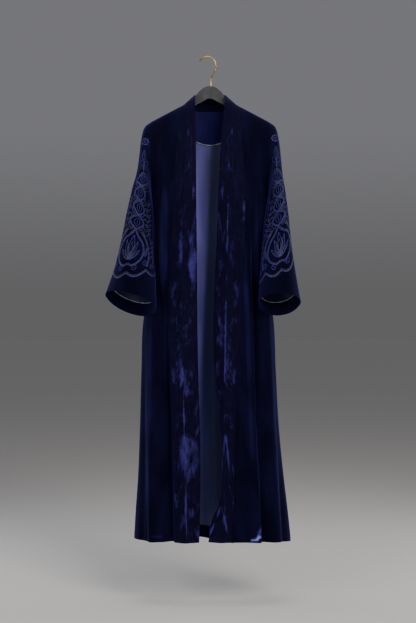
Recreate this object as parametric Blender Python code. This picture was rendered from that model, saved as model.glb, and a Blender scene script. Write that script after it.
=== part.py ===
# A long velvet abaya, open down the front, hanging on a flat board hanger with a wire hook.
# Metres, +Z up, the front faces -Y. The origin is the inside top of the hook, where it rests
# on a rail. Every piece of cloth is a wall along one smooth surface, worked out from the tables
# of sizes below: "across" runs round the garment and "down" runs from its top to its hem.

import math

import bpy
import numpy as np

# Sizes of the whole garment
MIDDLE_X = 0.008            # the garment and the hanger hang this far right of the hook's arc
HEM_Z = -1.536
HEM_SIDE_DROP = {"left": 0.000, "right": 0.012}     # how far lower the hem is at a side seam
BACK_DIP = 0.020            # and how far lower at the centre back
CUFF_DROP = 1.3             # how far a cuff's back hangs down, beside how far its front rises
NECK_POINT = (0.047, -0.1205)
SHOULDER_BEND = (0.083, -0.1530)
SHOULDER_TIP = (0.188, -0.2087)
BAND_AT_SHOULDER = 0.095    # where the band's outer seam crosses the shoulder
UNDERARM_Z = -0.432
ARMHOLE_DEPTH = 0.050
SHOULDER_ROLL = 0.034       # radius of the cloth where it turns over the hanger
NECK_DEPTH = 0.036          # how far behind the hanger the back of the neck stands
NECK_BAND = 0.060           # length of the band's stretch behind the neck, edge to seam
NECK_SEAM = 0.0011          # its seam is turned, so it is cut back until its inner corner clears
NECK_SAG = 0.003            # how far the middle of the neck seam hangs below its ends
NECK_EDGE_SAG = 0.006       # and the middle of the band's upper edge
NECK_LEAN = 0.002           # how far the band's upper edge leans forward of its seam
SIDE_FULLNESS = 0.25        # extra half depth of the body towards its sides
FOLD_FADE = 28              # degrees short of the side seam over which the folds die away
SIDE_TURN = 90              # degrees from the centre back to a side seam, below the armhole
TURN_BACK_SHAPE = 1.2       # power of the curve in which a band turns back, 1 is straight
ARMHOLE_ROWS = 3            # rows of the sleeve's table over which its armhole rounds out

# Thickness of the cloth and the room between pieces
VELVET = 0.0020
SATIN = 0.0010
SEAM_GAP = 0.0003
LAYER_GAP = 0.0005
HEM_TURN = 0.0015           # how far short of an edge the facing behind it ends
PROBE = 0.0004              # step used to measure a surface's direction
SHARP_ANGLE = 50            # degrees at which an edge is shaded sharp

# Lengths of cloth that count as 1 across, least first, used to cut a seam gap
BAND_HALF = 0.025
PANEL_NARROW = 0.070
PANEL_HALF = 0.100

# The body, a row for each height: half widths, half depth, how far its middle is set back and
# how far the cross-section has turned at the side, in degrees
BODY_COLUMNS = ("height", "left", "right", "depth", "set_back", "turn")
BODY_ROWS = (
    (-0.120, 0.188, 0.188, 0.036, 0.000, 20),
    (-0.210, 0.188, 0.188, 0.036, 0.000, 20),
    (-0.300, 0.188, 0.188, 0.046, 0.000, 30),
    (-0.370, 0.187, 0.187, 0.052, 0.000, 62),
    (-0.431, 0.1865, 0.1860, 0.056, 0.000, 90),
    (-0.470, 0.1865, 0.1860, 0.058, 0.002, 90),
    (-0.540, 0.1870, 0.1840, 0.060, 0.007, 90),
    (-0.620, 0.190, 0.184, 0.062, 0.012, 90),
    (-0.700, 0.192, 0.185, 0.064, 0.017, 90),
    (-0.770, 0.201, 0.193, 0.066, 0.019, 90),
    (-0.842, 0.213, 0.203, 0.070, 0.017, 90),
    (-1.000, 0.219, 0.210, 0.077, 0.010, 90),
    (-1.200, 0.224, 0.221, 0.086, 0.006, 90),
    (-1.350, 0.230, 0.236, 0.093, 0.004, 90),
    (-1.450, 0.237, 0.248, 0.098, 0.003, 90),
    (-1.536, 0.242, 0.257, 0.102, 0.003, 90),
)

# The front bands, a row for each height: distances from the middle to the open edge, to the
# pressed crease and to the outer seam, how far the open edge turns back and the crease stands out
BAND_COLUMNS = ("height", "edge", "crease", "seam", "turn_back", "ridge")
BAND_ROWS = {
    "left": (
        (-0.120, 0.0470, 0.071, 0.095, 0.000, 0.000),
        (-0.165, 0.0470, 0.071, 0.095, 0.001, 0.001),
        (-0.300, 0.0445, 0.075, 0.108, 0.004, 0.003),
        (-0.504, 0.0430, 0.086, 0.117, 0.006, 0.004),
        (-0.660, 0.0410, 0.086, 0.125, 0.006, 0.004),
        (-0.867, 0.0395, 0.086, 0.128, 0.007, 0.004),
        (-1.040, 0.0360, 0.084, 0.126, 0.008, 0.005),
        (-1.200, 0.0310, 0.081, 0.119, 0.010, 0.006),
        (-1.330, 0.0300, 0.079, 0.112, 0.010, 0.006),
        (-1.536, 0.0335, 0.075, 0.106, 0.006, 0.005),
    ),
    "right": (
        (-0.120, 0.0470, 0.071, 0.095, 0.000, 0.000),
        (-0.165, 0.0450, 0.071, 0.095, 0.001, 0.001),
        (-0.270, 0.0350, 0.078, 0.101, 0.006, 0.004),
        (-0.412, 0.0270, 0.069, 0.108, 0.012, 0.005),
        (-0.580, 0.0215, 0.059, 0.104, 0.015, 0.005),
        (-0.706, 0.0157, 0.054, 0.098, 0.017, 0.005),
        (-0.867, 0.0116, 0.050, 0.092, 0.020, 0.006),
        (-1.000, 0.0150, 0.047, 0.083, 0.026, 0.008),
        (-1.170, 0.0315, 0.046, 0.080, 0.026, 0.006),
        (-1.330, 0.0370, 0.051, 0.076, 0.024, 0.006),
        (-1.420, 0.0270, 0.048, 0.073, 0.022, 0.006),
        (-1.470, 0.0050, 0.040, 0.069, 0.016, 0.008),
        (-1.536, -0.0050, 0.034, 0.066, 0.010, 0.006),
    ),
}

# The largest folds, a row each: place at the height where the fold starts and at the hem, half
# its width, how far it stands out (minus is a trough), start height and height of full depth
FOLD_COLUMNS = ("place", "hem_place", "half_width", "depth", "start", "full")
FOLD_ROWS = {
    "left": (
        (0.155, 0.129, 0.026, -0.032, -0.60, -1.15),
        (0.192, 0.170, 0.034, 0.014, -0.55, -1.20),
        (0.149, 0.129, 0.026, 0.008, -0.22, -0.55),
        (0.085, 0.075, 0.060, 0.010, -0.50, -1.30),
    ),
    "right": (
        (0.097, 0.140, 0.030, 0.013, -0.22, -0.80),
        (0.122, 0.169, 0.021, -0.013, -0.22, -0.80),
        (0.150, 0.205, 0.030, 0.010, -0.25, -0.90),
    ),
    "back": (
        (-0.150, -0.178, 0.042, 0.024, -0.50, -1.35),
        (-0.095, -0.118, 0.036, -0.020, -0.42, -1.30),
        (-0.042, -0.048, 0.044, 0.028, -0.36, -1.40),
        (0.012, 0.016, 0.034, -0.019, -0.45, -1.30),
        (0.062, 0.080, 0.042, 0.030, -0.40, -1.40),
        (0.112, 0.142, 0.036, -0.021, -0.48, -1.30),
        (0.152, 0.196, 0.038, 0.018, -0.60, -1.40),
    ),
}

# The sleeves, a row for each section from the armhole to the cuff: the outer and inner ends of
# the section, half its depth, how much higher its front is than its middle, and how deep its
# back half is beside its front half
SLEEVE_COLUMNS = (
    "out_x", "out_y", "out_z", "in_x", "in_y", "in_z", "half_depth", "front_lift",
    "back_share",
)
SLEEVE_ROWS = {
    "left": (
        (0.1881, 0.000, -0.2087, 0.1895, 0.000, -0.432, 0.050, 0.000, 1.00),
        (0.2085, 0.000, -0.2265, 0.1920, -0.002, -0.438, 0.060, 0.000, 0.95),
        (0.2185, -0.002, -0.2640, 0.1940, -0.004, -0.444, 0.069, 0.000, 0.86),
        (0.2240, -0.005, -0.3150, 0.1945, -0.010, -0.451, 0.076, 0.000, 0.73),
        (0.2290, -0.008, -0.3700, 0.1935, -0.021, -0.461, 0.079, 0.000, 0.58),
        (0.2350, -0.012, -0.4250, 0.1930, -0.035, -0.481, 0.078, 0.000, 0.47),
        (0.2380, -0.015, -0.4850, 0.1920, -0.048, -0.521, 0.074, 0.000, 0.42),
        (0.2500, -0.018, -0.5500, 0.1895, -0.062, -0.575, 0.070, 0.004, 0.46),
        (0.2710, -0.021, -0.6200, 0.1840, -0.076, -0.640, 0.067, 0.012, 0.60),
        (0.2920, -0.024, -0.6900, 0.1765, -0.095, -0.705, 0.062, 0.021, 0.75),
        (0.3255, -0.027, -0.7730, 0.1715, -0.113, -0.796, 0.057, 0.030, 0.85),
    ),
    "right": (
        (0.1881, 0.000, -0.2087, 0.1895, 0.000, -0.432, 0.050, 0.000, 1.00),
        (0.2085, 0.000, -0.2265, 0.1920, -0.002, -0.438, 0.060, 0.000, 0.95),
        (0.2185, -0.002, -0.2640, 0.1935, -0.005, -0.444, 0.069, 0.000, 0.86),
        (0.2240, -0.005, -0.3150, 0.1940, -0.011, -0.451, 0.076, 0.000, 0.73),
        (0.2265, -0.008, -0.3700, 0.1915, -0.023, -0.461, 0.079, 0.000, 0.56),
        (0.2255, -0.012, -0.4250, 0.1875, -0.039, -0.482, 0.076, 0.000, 0.45),
        (0.2230, -0.018, -0.4850, 0.1820, -0.054, -0.522, 0.071, 0.000, 0.41),
        (0.2270, -0.025, -0.5500, 0.1765, -0.068, -0.572, 0.066, 0.005, 0.45),
        (0.2390, -0.031, -0.6220, 0.1695, -0.084, -0.632, 0.062, 0.014, 0.60),
        (0.2570, -0.036, -0.7000, 0.1625, -0.101, -0.694, 0.058, 0.024, 0.75),
        (0.2790, -0.040, -0.7980, 0.1560, -0.117, -0.774, 0.054, 0.033, 0.85),
    ),
}
SLEEVE_FOLD_COLUMNS = ("angle", "half_angle", "depth", "from_row", "to_row")
SLEEVE_FOLD_ROWS = (
    (215, 40, -0.0035, 4.0, 9.0),
    (255, 34, 0.0030, 5.0, 9.5),
    (125, 40, -0.0035, 5.0, 9.5),
    (65, 36, 0.0030, 5.5, 9.5),
)

# Rows of the walls: lengths along the cloth from the top edge of the shoulder tip
TOP_ROWS = (0.0075, 0.0178, 0.0356, 0.0534, 0.074, 0.096, 0.138, 0.176, 0.212, 0.2427)
SKIRT_ROWS = (0.285, 0.345, 0.415, 0.490, 0.570, 0.655, 0.745, 0.840, 0.935, 1.030, 1.125, 1.215)
BAND_COUNT = 4
FRONT_COUNT = 14
NECK_COUNT = 8
NECK_SPREAD = 78            # degrees; the neck's columns draw together towards its ends
NECK_ROWS = 5
SHOULDER_COUNT = 10
SLEEVE_COUNT = 28
SLEEVE_CLOSER = 0.12        # how much closer its columns are at the folds, 0 is even
SLEEVE_STEPS = 11
SLEEVE_ROW = 0.085          # length of cloth between the table's last two rows

# Linings, facings and piping
NECK_FACING_SHARE = 0.46    # of the way from the centre back to the shoulder tip
NECK_FACING_SIDE = 0.096
NECK_FACING_SAG = 0.014
NECK_FACING_ROWS = 5        # rows of TOP_ROWS that the neck facing has
LINING_FIRST_ROW = 6        # and the first one that the lining has
LINING_HALF_TURN = 58       # degrees each side of the centre back
HEM_FACING = 0.040
CUFF_FACING = 0.034
CUFF_LINING = 0.070
PIPING_RADIUS = 0.0012

# The hanger and its hook; each arm has a row of distance from the middle and drop below the
# shoulder seam
HANGER_THICKNESS = 0.010
HANGER_ARM = ((0.047, 0.0038), (0.083, 0.0036), (0.130, 0.0036), (0.152, 0.0085), (0.160, 0.0150))
HANGER_CROWN = ((0.0, -0.0930), (0.012, -0.0942), (0.024, -0.1010), (0.036, -0.1115))
HANGER_UNDERSIDE = ((0.156, -0.2190), (0.081, -0.1765), (0.0443, -0.1530), (0.0, -0.1296))
HOOK_WIRE = 0.002
HOOK_RADIUS = 0.027
HOOK_TIP_ANGLE = 155        # degrees, counted from +X over the top
HOOK_END_ANGLE = -12
HOOK_STEPS = 20
HOOK_BEND = ((0.0235, -0.044), (0.0185, -0.056), (0.0145, -0.063), (0.0114, -0.069))
HOOK_FOOT = (0.011, -0.0927)


def column(names, rows, name):
    """One named column of a table, as an array."""
    return np.array([row[names.index(name)] for row in rows], dtype=float)


def smooth_read(places, values, place):
    """Read a table on a smooth curve through its rows; the places may rise or fall."""
    order = np.argsort(places)
    xs, ys = places[order], values[order]
    slopes = np.gradient(ys, xs)
    place = np.clip(place, xs[0], xs[-1])
    row = np.clip(np.searchsorted(xs, place, side="right") - 1, 0, len(xs) - 2)
    step = xs[row + 1] - xs[row]
    t = (place - xs[row]) / step
    rise = ys[row] * (1 + 2 * t) * (1 - t) ** 2 + ys[row + 1] * t * t * (3 - 2 * t)
    lean = slopes[row] * t * (1 - t) ** 2 - slopes[row + 1] * t * t * (1 - t)
    return rise + lean * step


def body(name, z):
    return smooth_read(column(BODY_COLUMNS, BODY_ROWS, "height"),
                       column(BODY_COLUMNS, BODY_ROWS, name), z)


def band(side, name, z):
    rows = BAND_ROWS[side]
    return smooth_read(column(BAND_COLUMNS, rows, "height"), column(BAND_COLUMNS, rows, name), z)


def ease(low, high, value):
    """0 below low, 1 above high and a smooth change between them."""
    t = np.clip((value - low) / (high - low), 0, 1)
    return t * t * (3 - 2 * t)


def bump(distance, half_width):
    """A rounded ridge, 1 at its middle and 0 at its two feet."""
    return np.cos(np.clip(distance / half_width, -1, 1) * math.pi / 2) ** 2


def shoulder_line(x):
    """Height of the shoulder seam at a distance from the middle."""
    points = (NECK_POINT, SHOULDER_BEND, SHOULDER_TIP)
    return np.interp(x, [point[0] for point in points], [point[1] for point in points])


def eye_shape(share):
    """Half width of a loop that is round at its top and pointed at its foot, 1 at its widest."""
    share = np.clip(share, 0, 1)
    return 1.5 * math.sqrt(3) * np.sqrt(share) * (1 - share)


def armhole(drop):
    """Half the front-to-back opening of the armhole at a drop below the shoulder."""
    return ARMHOLE_DEPTH * eye_shape(drop / (SHOULDER_TIP[1] - UNDERARM_Z))


def rolled(down):
    """Drop and outward share of a length of cloth that starts flat on top of the shoulder."""
    angle = np.clip(down / SHOULDER_ROLL, -math.pi / 2, math.pi / 2)
    straight = np.maximum(down - SHOULDER_ROLL * math.pi / 2, 0)
    return SHOULDER_ROLL * (1 - np.cos(angle)) + straight, np.sin(angle)


WHOLE_DROP = SHOULDER_TIP[1] - HEM_Z
WHOLE_DOWN = WHOLE_DROP + SHOULDER_ROLL * (math.pi / 2 - 1)
TOP_TURN = math.radians(BODY_ROWS[0][BODY_COLUMNS.index("turn")])


def fold_depth(table, place, z, turn_left):
    """How far all the folds of one panel stand out at a place and height."""
    total = np.zeros_like(z)
    for row in FOLD_ROWS[table]:
        fold = dict(zip(FOLD_COLUMNS, row))
        way = np.clip((fold["start"] - z) / (fold["start"] - HEM_Z), 0, 1)
        centre = fold["place"] + (fold["hem_place"] - fold["place"]) * way
        growth = ease(-fold["start"], -fold["full"], -z)
        total += fold["depth"] * growth * bump(place - centre, fold["half_width"])
    return total * ease(0, math.radians(FOLD_FADE), turn_left)


def front_surface(side):
    """The front half of one side: across 0 to 1 is the band, 1 to 2 the front panel."""
    mirror = -1 if side == "left" else 1

    def seam_turn(seam, width, turn):
        return np.arcsin(np.clip(seam * np.sin(turn) / width, -1, 1))

    def surface(across, down):
        on_band = np.clip(across, -1, 1)
        on_panel = across - 1
        top_seam = seam_turn(BAND_AT_SHOULDER, SHOULDER_TIP[0], TOP_TURN)
        top_panel = SHOULDER_TIP[0] / math.sin(TOP_TURN) * np.sin(
            top_seam + (TOP_TURN - top_seam) * on_panel)
        top_band = NECK_POINT[0] + (BAND_AT_SHOULDER - NECK_POINT[0]) * on_band
        top_z = shoulder_line(np.where(across < 1, top_band, top_panel))
        drop, outward = rolled(down)
        hem = HEM_Z - HEM_SIDE_DROP[side] * np.clip(on_panel, 0, None) ** 2
        z = top_z - drop * (top_z - hem) / WHOLE_DROP

        turn = np.radians(body("turn", z))
        width = body(side, z)
        edge, crease, seam = (band(side, name, z) for name in ("edge", "crease", "seam"))
        on_inner = np.clip(on_band * 2, -1, 1)
        on_outer = np.clip(on_band * 2 - 1, 0, 1)
        band_x = edge + (crease - edge) * on_inner + (seam - crease) * on_outer
        start = seam_turn(seam, width, turn)
        angle = np.where(across < 1, seam_turn(band_x, width, turn),
                         start + (turn - start) * on_panel)
        x = np.where(across < 1, band_x, width * np.sin(angle) / np.sin(turn))

        arm = armhole(drop)
        round_share = (np.cos(angle) - np.cos(turn)) / (1 - np.cos(turn))
        full = body("depth", z) * (1 + SIDE_FULLNESS * np.sin(angle) ** 2)
        depth = arm * np.sign(down) * (1 - round_share) ** 2 + full * round_share * outward
        folds = fold_depth(side, x, z, turn - angle)
        shape_back = band(side, "turn_back", z) * (1 - on_inner) ** TURN_BACK_SHAPE
        shape_out = band(side, "ridge", z) * (on_inner - on_outer) ** 2
        x = x + folds * np.sin(angle)
        y = body("set_back", z) - depth - folds * np.cos(angle) + shape_back - shape_out
        return np.stack([MIDDLE_X + mirror * x, y, z], axis=-1)

    return surface


def back_top(across):
    """Distance from the middle along the back's top edge, and how far the neck stands back."""
    top_x = SHOULDER_TIP[0] * np.sin(TOP_TURN * np.abs(across)) / math.sin(TOP_TURN)
    return top_x, np.sqrt(np.clip(1 - (top_x / BAND_AT_SHOULDER) ** 2, 0, 1))


def neck_surface(across, up):
    """The standing band behind the neck, above the same places across as the back has."""
    top_x, neck = back_top(across)
    rise = up / NECK_BAND
    out = BAND_AT_SHOULDER + (NECK_POINT[0] - BAND_AT_SHOULDER) * rise
    x = np.sign(across) * out * np.minimum(top_x / BAND_AT_SHOULDER, 1)
    y = (NECK_DEPTH - NECK_LEAN * rise) * neck
    z = shoulder_line(out) - (NECK_SAG + (NECK_EDGE_SAG - NECK_SAG) * rise) * neck
    return np.stack([MIDDLE_X + x, y, z], axis=-1)


def back_surface(across, down):
    """The back: across runs from -1 at the left side seam to 1 at the right one."""
    share = np.abs(across)
    top_x, neck = back_top(across)
    neck_z = shoulder_line(BAND_AT_SHOULDER) - NECK_SAG * neck
    top_z = np.where(top_x < BAND_AT_SHOULDER, neck_z, shoulder_line(top_x))
    drop, outward = rolled(down)
    drop = drop * (1 - neck) + down * WHOLE_DROP / WHOLE_DOWN * neck
    side_drop = np.where(across < 0, HEM_SIDE_DROP["left"], HEM_SIDE_DROP["right"])
    hem = HEM_Z - side_drop * share ** 2 - BACK_DIP * bump(across, 1)
    z = top_z - drop * (top_z - hem) / WHOLE_DROP

    turn = np.radians(body("turn", z))
    width = np.where(across < 0, body("left", z), body("right", z))
    angle = turn * share
    x = np.sign(across) * width * np.sin(angle) / np.sin(turn)
    arm = armhole(drop)
    round_share = (np.cos(angle) - np.cos(turn)) / (1 - np.cos(turn))
    full = body("depth", z) * (1 + SIDE_FULLNESS * np.sin(angle) ** 2)
    depth = arm * np.sign(down) * (1 - round_share) ** 2 + full * round_share * outward
    depth = depth + NECK_DEPTH * neck * (1 - outward)
    folds = fold_depth("back", x, z, turn - angle)
    x = x + np.sign(across) * folds * np.sin(angle)
    y = body("set_back", z) + depth + folds * np.cos(angle)
    return np.stack([MIDDLE_X + x, y, z], axis=-1)


def sleeve_surface(side):
    """One sleeve: across turns round it in radians, down counts the rows of its table."""
    mirror = -1 if side == "left" else 1
    rows = SLEEVE_ROWS[side]
    places = np.arange(len(rows), dtype=float)

    def read(name, down):
        return smooth_read(places, column(SLEEVE_COLUMNS, rows, name), down)

    def ends(down):
        outer = np.stack([read(name, down) for name in ("out_x", "out_y", "out_z")], axis=-1)
        inner = np.stack([read(name, down) for name in ("in_x", "in_y", "in_z")], axis=-1)
        return (outer + inner) / 2, (outer - inner) / 2

    def surface(across, down):
        middle, reach = ends(down)
        at_armhole = 1 - ease(0, ARMHOLE_ROWS, down)
        length = np.linalg.norm(reach, axis=-1, keepdims=True)
        sideways = -reach * reach[..., 1:2] / length ** 2
        sideways[..., 1] += 1
        sideways = sideways / np.linalg.norm(sideways, axis=-1, keepdims=True)
        folds = np.zeros_like(down)
        for row in SLEEVE_FOLD_ROWS:
            fold = dict(zip(SLEEVE_FOLD_COLUMNS, row))
            apart = (across - math.radians(fold["angle"]) + math.pi) % (2 * math.pi) - math.pi
            span = (fold["to_row"] - fold["from_row"]) / 2
            along = bump(down - fold["from_row"] - span, span)
            folds += fold["depth"] * along * bump(apart, math.radians(fold["half_angle"]))
        at_back = np.sin(across) > 0
        half = read("half_depth", down) * np.where(at_back, read("back_share", down), 1)
        eye = np.sign(np.sin(across)) * eye_shape((1 - np.cos(across)) / 2)
        c = np.cos(across)[..., None]
        s = (np.sin(across) * (1 - at_armhole) + eye * at_armhole)[..., None]
        grow = (1 + folds / np.minimum(half, length[..., 0]))[..., None]
        point = middle + (reach * c + sideways * half[..., None] * s) * grow
        hang = np.where(at_back, CUFF_DROP, 1)
        point[..., 2] -= read("front_lift", down) * np.sin(across) * hang
        point[..., 0] = MIDDLE_X + mirror * point[..., 0]
        return point

    return surface


def directions(surface, across, down):
    """Unit vectors square to a surface, measured across a small step each way."""
    along = surface(across + PROBE, down) - surface(across - PROBE, down)
    below = surface(across, down + PROBE) - surface(across, down - PROBE)
    square = np.cross(below, along)
    return square / np.linalg.norm(square, axis=-1, keepdims=True)


def layer_points(surface, across, down, out, lift):
    """Points of a layer that lies a distance out from a surface; out is 1 or -1 for its face."""
    return surface(across, down) + directions(surface, across, down) * out * lift


def add_mesh(name, points, faces, material):
    mesh = bpy.data.meshes.new(name)
    mesh.from_pydata(points, [], faces)
    mesh.update()
    mesh.materials.append(material)
    mesh.shade_smooth()
    mesh.set_sharp_from_angle(angle=math.radians(SHARP_ANGLE))
    piece = bpy.data.objects.new(name, mesh)
    collection.objects.link(piece)
    return piece


def add_wall(name, surface, across, down, thickness, material, out=1, lift=0.0, ring=False):
    """A closed wall of cloth along a surface. It is lofted on both faces, and not solidified,
    so that the two walls at a seam share one direction and stay the seam gap apart."""
    outer = layer_points(surface, across, down, out, lift + thickness / 2)
    inner = layer_points(surface, across, down, out, lift - thickness / 2)
    rows, columns = across.shape
    middle = surface(across, down)
    points = np.concatenate([outer.reshape(-1, 3), inner.reshape(-1, 3)])
    turned = rows * columns
    faces = []
    for r in range(rows - 1):
        for c in range(columns if ring else columns - 1):
            d = (c + 1) % columns
            here, beside = r * columns + c, r * columns + d
            below, across_below = here + columns, beside + columns
            falling = np.linalg.norm(middle[r, c] - middle[r + 1, d])
            rising = np.linalg.norm(middle[r, d] - middle[r + 1, c])
            if falling < rising:
                halves = ((here, beside, across_below), (here, across_below, below))
            else:
                halves = ((here, beside, below), (beside, across_below, below))
            for face in halves:
                faces.append(face)
                faces.append(tuple(turned + corner for corner in reversed(face)))
    rims = [[r * columns + c for c in range(columns)] for r in (0, rows - 1)]
    if ring:
        rims = [rim + rim[:1] for rim in rims]
        edges = [(rims[0], True), (rims[1], False)]
    else:
        sides = [[r * columns + c for r in range(rows)] for c in (0, columns - 1)]
        edges = [(rims[0], True), (rims[1], False), (sides[0], False), (sides[1], True)]
    for edge, flip in edges:
        for a, b in zip(edge, edge[1:]):
            quad = (a, a + turned, b + turned, b)
            faces.append(quad if flip else tuple(reversed(quad)))
    piece = add_mesh(name, points.tolist(), faces, material)
    make_faces_point_out(piece.data)
    return piece


def make_faces_point_out(mesh):
    """Turn a closed wall's faces round where its enclosed volume comes out negative."""
    volume = 0.0
    for face in mesh.polygons:
        corners = [mesh.vertices[index].co for index in face.vertices]
        for first, second in zip(corners[1:], corners[2:]):
            volume += corners[0].dot(first.cross(second))
    if volume < 0:
        mesh.flip_normals()


def grid(across, down):
    return np.meshgrid(np.asarray(across, dtype=float), np.asarray(down, dtype=float))


def down_rows():
    """Lengths down the cloth at which the body's walls have a row."""
    first = SEAM_GAP / 2
    return np.array([first, *TOP_ROWS, *SKIRT_ROWS, WHOLE_DOWN - HEM_FACING, WHOLE_DOWN])


def add_body():
    """The bands, fronts and back, each cut back at its seams by half of the seam gap."""
    trim = SEAM_GAP / 2
    for side in ("left", "right"):
        surface = front_surface(side)
        strip = np.linspace(0, 1 - trim / BAND_HALF, BAND_COUNT + 1)
        panel = np.linspace(1 + trim / PANEL_HALF, 2 - trim / PANEL_NARROW, FRONT_COUNT + 1)
        add_wall("band_" + side, surface, *grid(strip, down_rows()), VELVET, band_velvet)
        add_wall("front_" + side, surface, *grid(panel, down_rows()), VELVET, velvet)
    across = back_across() * (1 - trim / PANEL_HALF)
    add_wall("back", back_surface, *grid(across, down_rows()), VELVET, velvet)


def neck_share():
    """Where on the back's top edge the neck ends, just short of the shoulder seam."""
    x = BAND_AT_SHOULDER * math.cos(SEAM_GAP / 2 / NECK_DEPTH)
    return math.asin(x * math.sin(TOP_TURN) / SHOULDER_TIP[0]) / TOP_TURN


def back_across():
    """Places of the back's columns, with one at each end of the neck."""
    spread = math.radians(NECK_SPREAD)
    neck = neck_share() * np.sin(np.linspace(0, spread, NECK_COUNT + 1)) / math.sin(spread)
    half = np.concatenate([neck, np.linspace(neck_share(), 1, SHOULDER_COUNT + 1)[1:]])
    return np.concatenate([-half[:0:-1], half])


def add_neck():
    across = back_across()
    across = across[np.abs(across) <= neck_share()]
    up = np.linspace(NECK_BAND, NECK_SEAM, NECK_ROWS)
    add_wall("band_neck", neck_surface, *grid(across, up), VELVET, band_velvet)


def sleeve_rows():
    """Rows of a sleeve's wall, with one at each seam of what lines its cuff."""
    last = len(SLEEVE_ROWS["left"]) - 1
    facing_top = last - CUFF_FACING / SLEEVE_ROW
    lining_top = facing_top - CUFF_LINING / SLEEVE_ROW
    upper = np.linspace(0, lining_top, SLEEVE_STEPS + 1)
    return np.array([*upper, facing_top, last])


def sleeve_columns():
    """Angles of a sleeve's columns, closer together along its front and back folds."""
    even = np.linspace(0, 2 * math.pi, SLEEVE_COUNT, endpoint=False)
    return even + SLEEVE_CLOSER * np.sin(2 * even)


def add_sleeves():
    around = sleeve_columns()
    for side in ("left", "right"):
        surface = sleeve_surface(side)
        down = sleeve_rows()
        add_wall("sleeve_" + side, surface, *grid(around, down), VELVET, velvet, ring=True)


def add_hanger():
    outline = list(HANGER_CROWN)
    outline += [(x, float(shoulder_line(x)) - drop) for x, drop in HANGER_ARM]
    outline += HANGER_UNDERSIDE
    left = [(-x, z) for x, z in reversed(outline[1:-1])]
    curve = bpy.data.curves.new("hanger", "CURVE")
    curve.dimensions = "2D"
    curve.fill_mode = "BOTH"
    curve.extrude = HANGER_THICKNESS / 2
    spline = curve.splines.new("POLY")
    points = outline + left
    spline.points.add(len(points) - 1)
    for point, (x, z) in zip(spline.points, points):
        point.co = (x, z, 0, 1)
    spline.use_cyclic_u = True
    curve.materials.append(charcoal)
    hanger = bpy.data.objects.new("hanger", curve)
    hanger.location = (MIDDLE_X, 0, 0)
    hanger.rotation_euler = (math.pi / 2, 0, 0)
    collection.objects.link(hanger)


def add_tube(name, points, radius, material, resolution=2, cyclic=False):
    curve = bpy.data.curves.new(name, "CURVE")
    curve.dimensions = "3D"
    curve.bevel_depth = radius
    curve.bevel_resolution = resolution
    curve.use_fill_caps = not cyclic
    spline = curve.splines.new("POLY")
    spline.points.add(len(points) - 1)
    for point, place in zip(spline.points, points):
        point.co = (*place, 1)
    spline.use_cyclic_u = cyclic
    curve.materials.append(material)
    tube = bpy.data.objects.new(name, curve)
    collection.objects.link(tube)
    return tube


def add_hook():
    """An open arc over the rail, then a bend back to the middle of the hanger."""
    arc_z = HOOK_WIRE - HOOK_RADIUS
    points = []
    for angle in np.linspace(HOOK_TIP_ANGLE, HOOK_END_ANGLE, HOOK_STEPS):
        turn = math.radians(angle)
        points.append((HOOK_RADIUS * math.cos(turn), 0, arc_z + HOOK_RADIUS * math.sin(turn)))
    points += [(x, 0, z) for x, z in (*HOOK_BEND, HOOK_FOOT)]
    add_tube("hanger_hook", points, HOOK_WIRE, gold_wire)


def facing_down(across):
    """Length down the back at which the neck facing ends."""
    sag = np.cos(np.clip(across / NECK_FACING_SHARE, -1, 1) * math.pi / 2)
    return NECK_FACING_SIDE + NECK_FACING_SAG * sag ** 2


def add_linings():
    inside = VELVET / 2 + LAYER_GAP
    across = back_across()
    hem_top = WHOLE_DOWN - HEM_FACING

    near_neck = across[np.abs(across) < NECK_FACING_SHARE]
    top, down = grid(near_neck, (*TOP_ROWS[:NECK_FACING_ROWS], 0))
    down[-1] = facing_down(near_neck) - SEAM_GAP / 2
    add_wall("facing_neck", back_surface, top, down, SATIN, velvet, 1, inside + SATIN / 2)

    spread = across[np.abs(across) <= LINING_HALF_TURN / SIDE_TURN]
    top, down = grid(spread, (0, *TOP_ROWS[LINING_FIRST_ROW:], *SKIRT_ROWS, hem_top - SEAM_GAP / 2))
    down[0] = facing_down(spread) + SEAM_GAP / 2
    add_wall("lining_back", back_surface, top, down, SATIN, satin, 1, inside + SATIN / 2)

    rows = (hem_top + SEAM_GAP / 2, WHOLE_DOWN - HEM_TURN)
    add_wall("hem_facing_back", back_surface, *grid(spread, rows), SATIN, velvet, 1,
             inside + SATIN / 2)

    lift = inside + SATIN + LAYER_GAP + PIPING_RADIUS
    seam = layer_points(back_surface, near_neck, facing_down(near_neck), 1, lift)
    add_tube("piping_neck", seam.tolist(), PIPING_RADIUS, grey_cord, 0)


def add_cuff_linings():
    inside = VELVET / 2 + LAYER_GAP
    around = sleeve_columns()
    lining_top, facing_top, last = sleeve_rows()[-3:]
    trim = SEAM_GAP / 2 / SLEEVE_ROW
    for side in ("left", "right"):
        surface = sleeve_surface(side)
        out = -1 if side == "left" else 1
        rows = (facing_top + trim, last - HEM_TURN / SLEEVE_ROW)
        add_wall("cuff_facing_" + side, surface, *grid(around, rows), SATIN, velvet, -out,
                 inside + SATIN / 2, True)
        rows = (lining_top, facing_top - trim)
        add_wall("sleeve_lining_" + side, surface, *grid(around, rows), SATIN, satin, -out,
                 inside + SATIN / 2, True)
        lift = inside + SATIN + LAYER_GAP + PIPING_RADIUS
        seam = layer_points(surface, around, np.full_like(around, facing_top), -out, lift)
        add_tube("cuff_piping_" + side, seam.tolist(), PIPING_RADIUS, grey_cord, 0, True)


def new_material(name, colour, roughness, metallic=0.0):
    material = bpy.data.materials.new(name)
    material.use_nodes = True
    shader = material.node_tree.nodes["Principled BSDF"]
    shader.inputs["Base Color"].default_value = (*colour, 1)
    shader.inputs["Roughness"].default_value = roughness
    shader.inputs["Metallic"].default_value = metallic
    material.diffuse_color = (*colour, 1)
    return material


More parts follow.
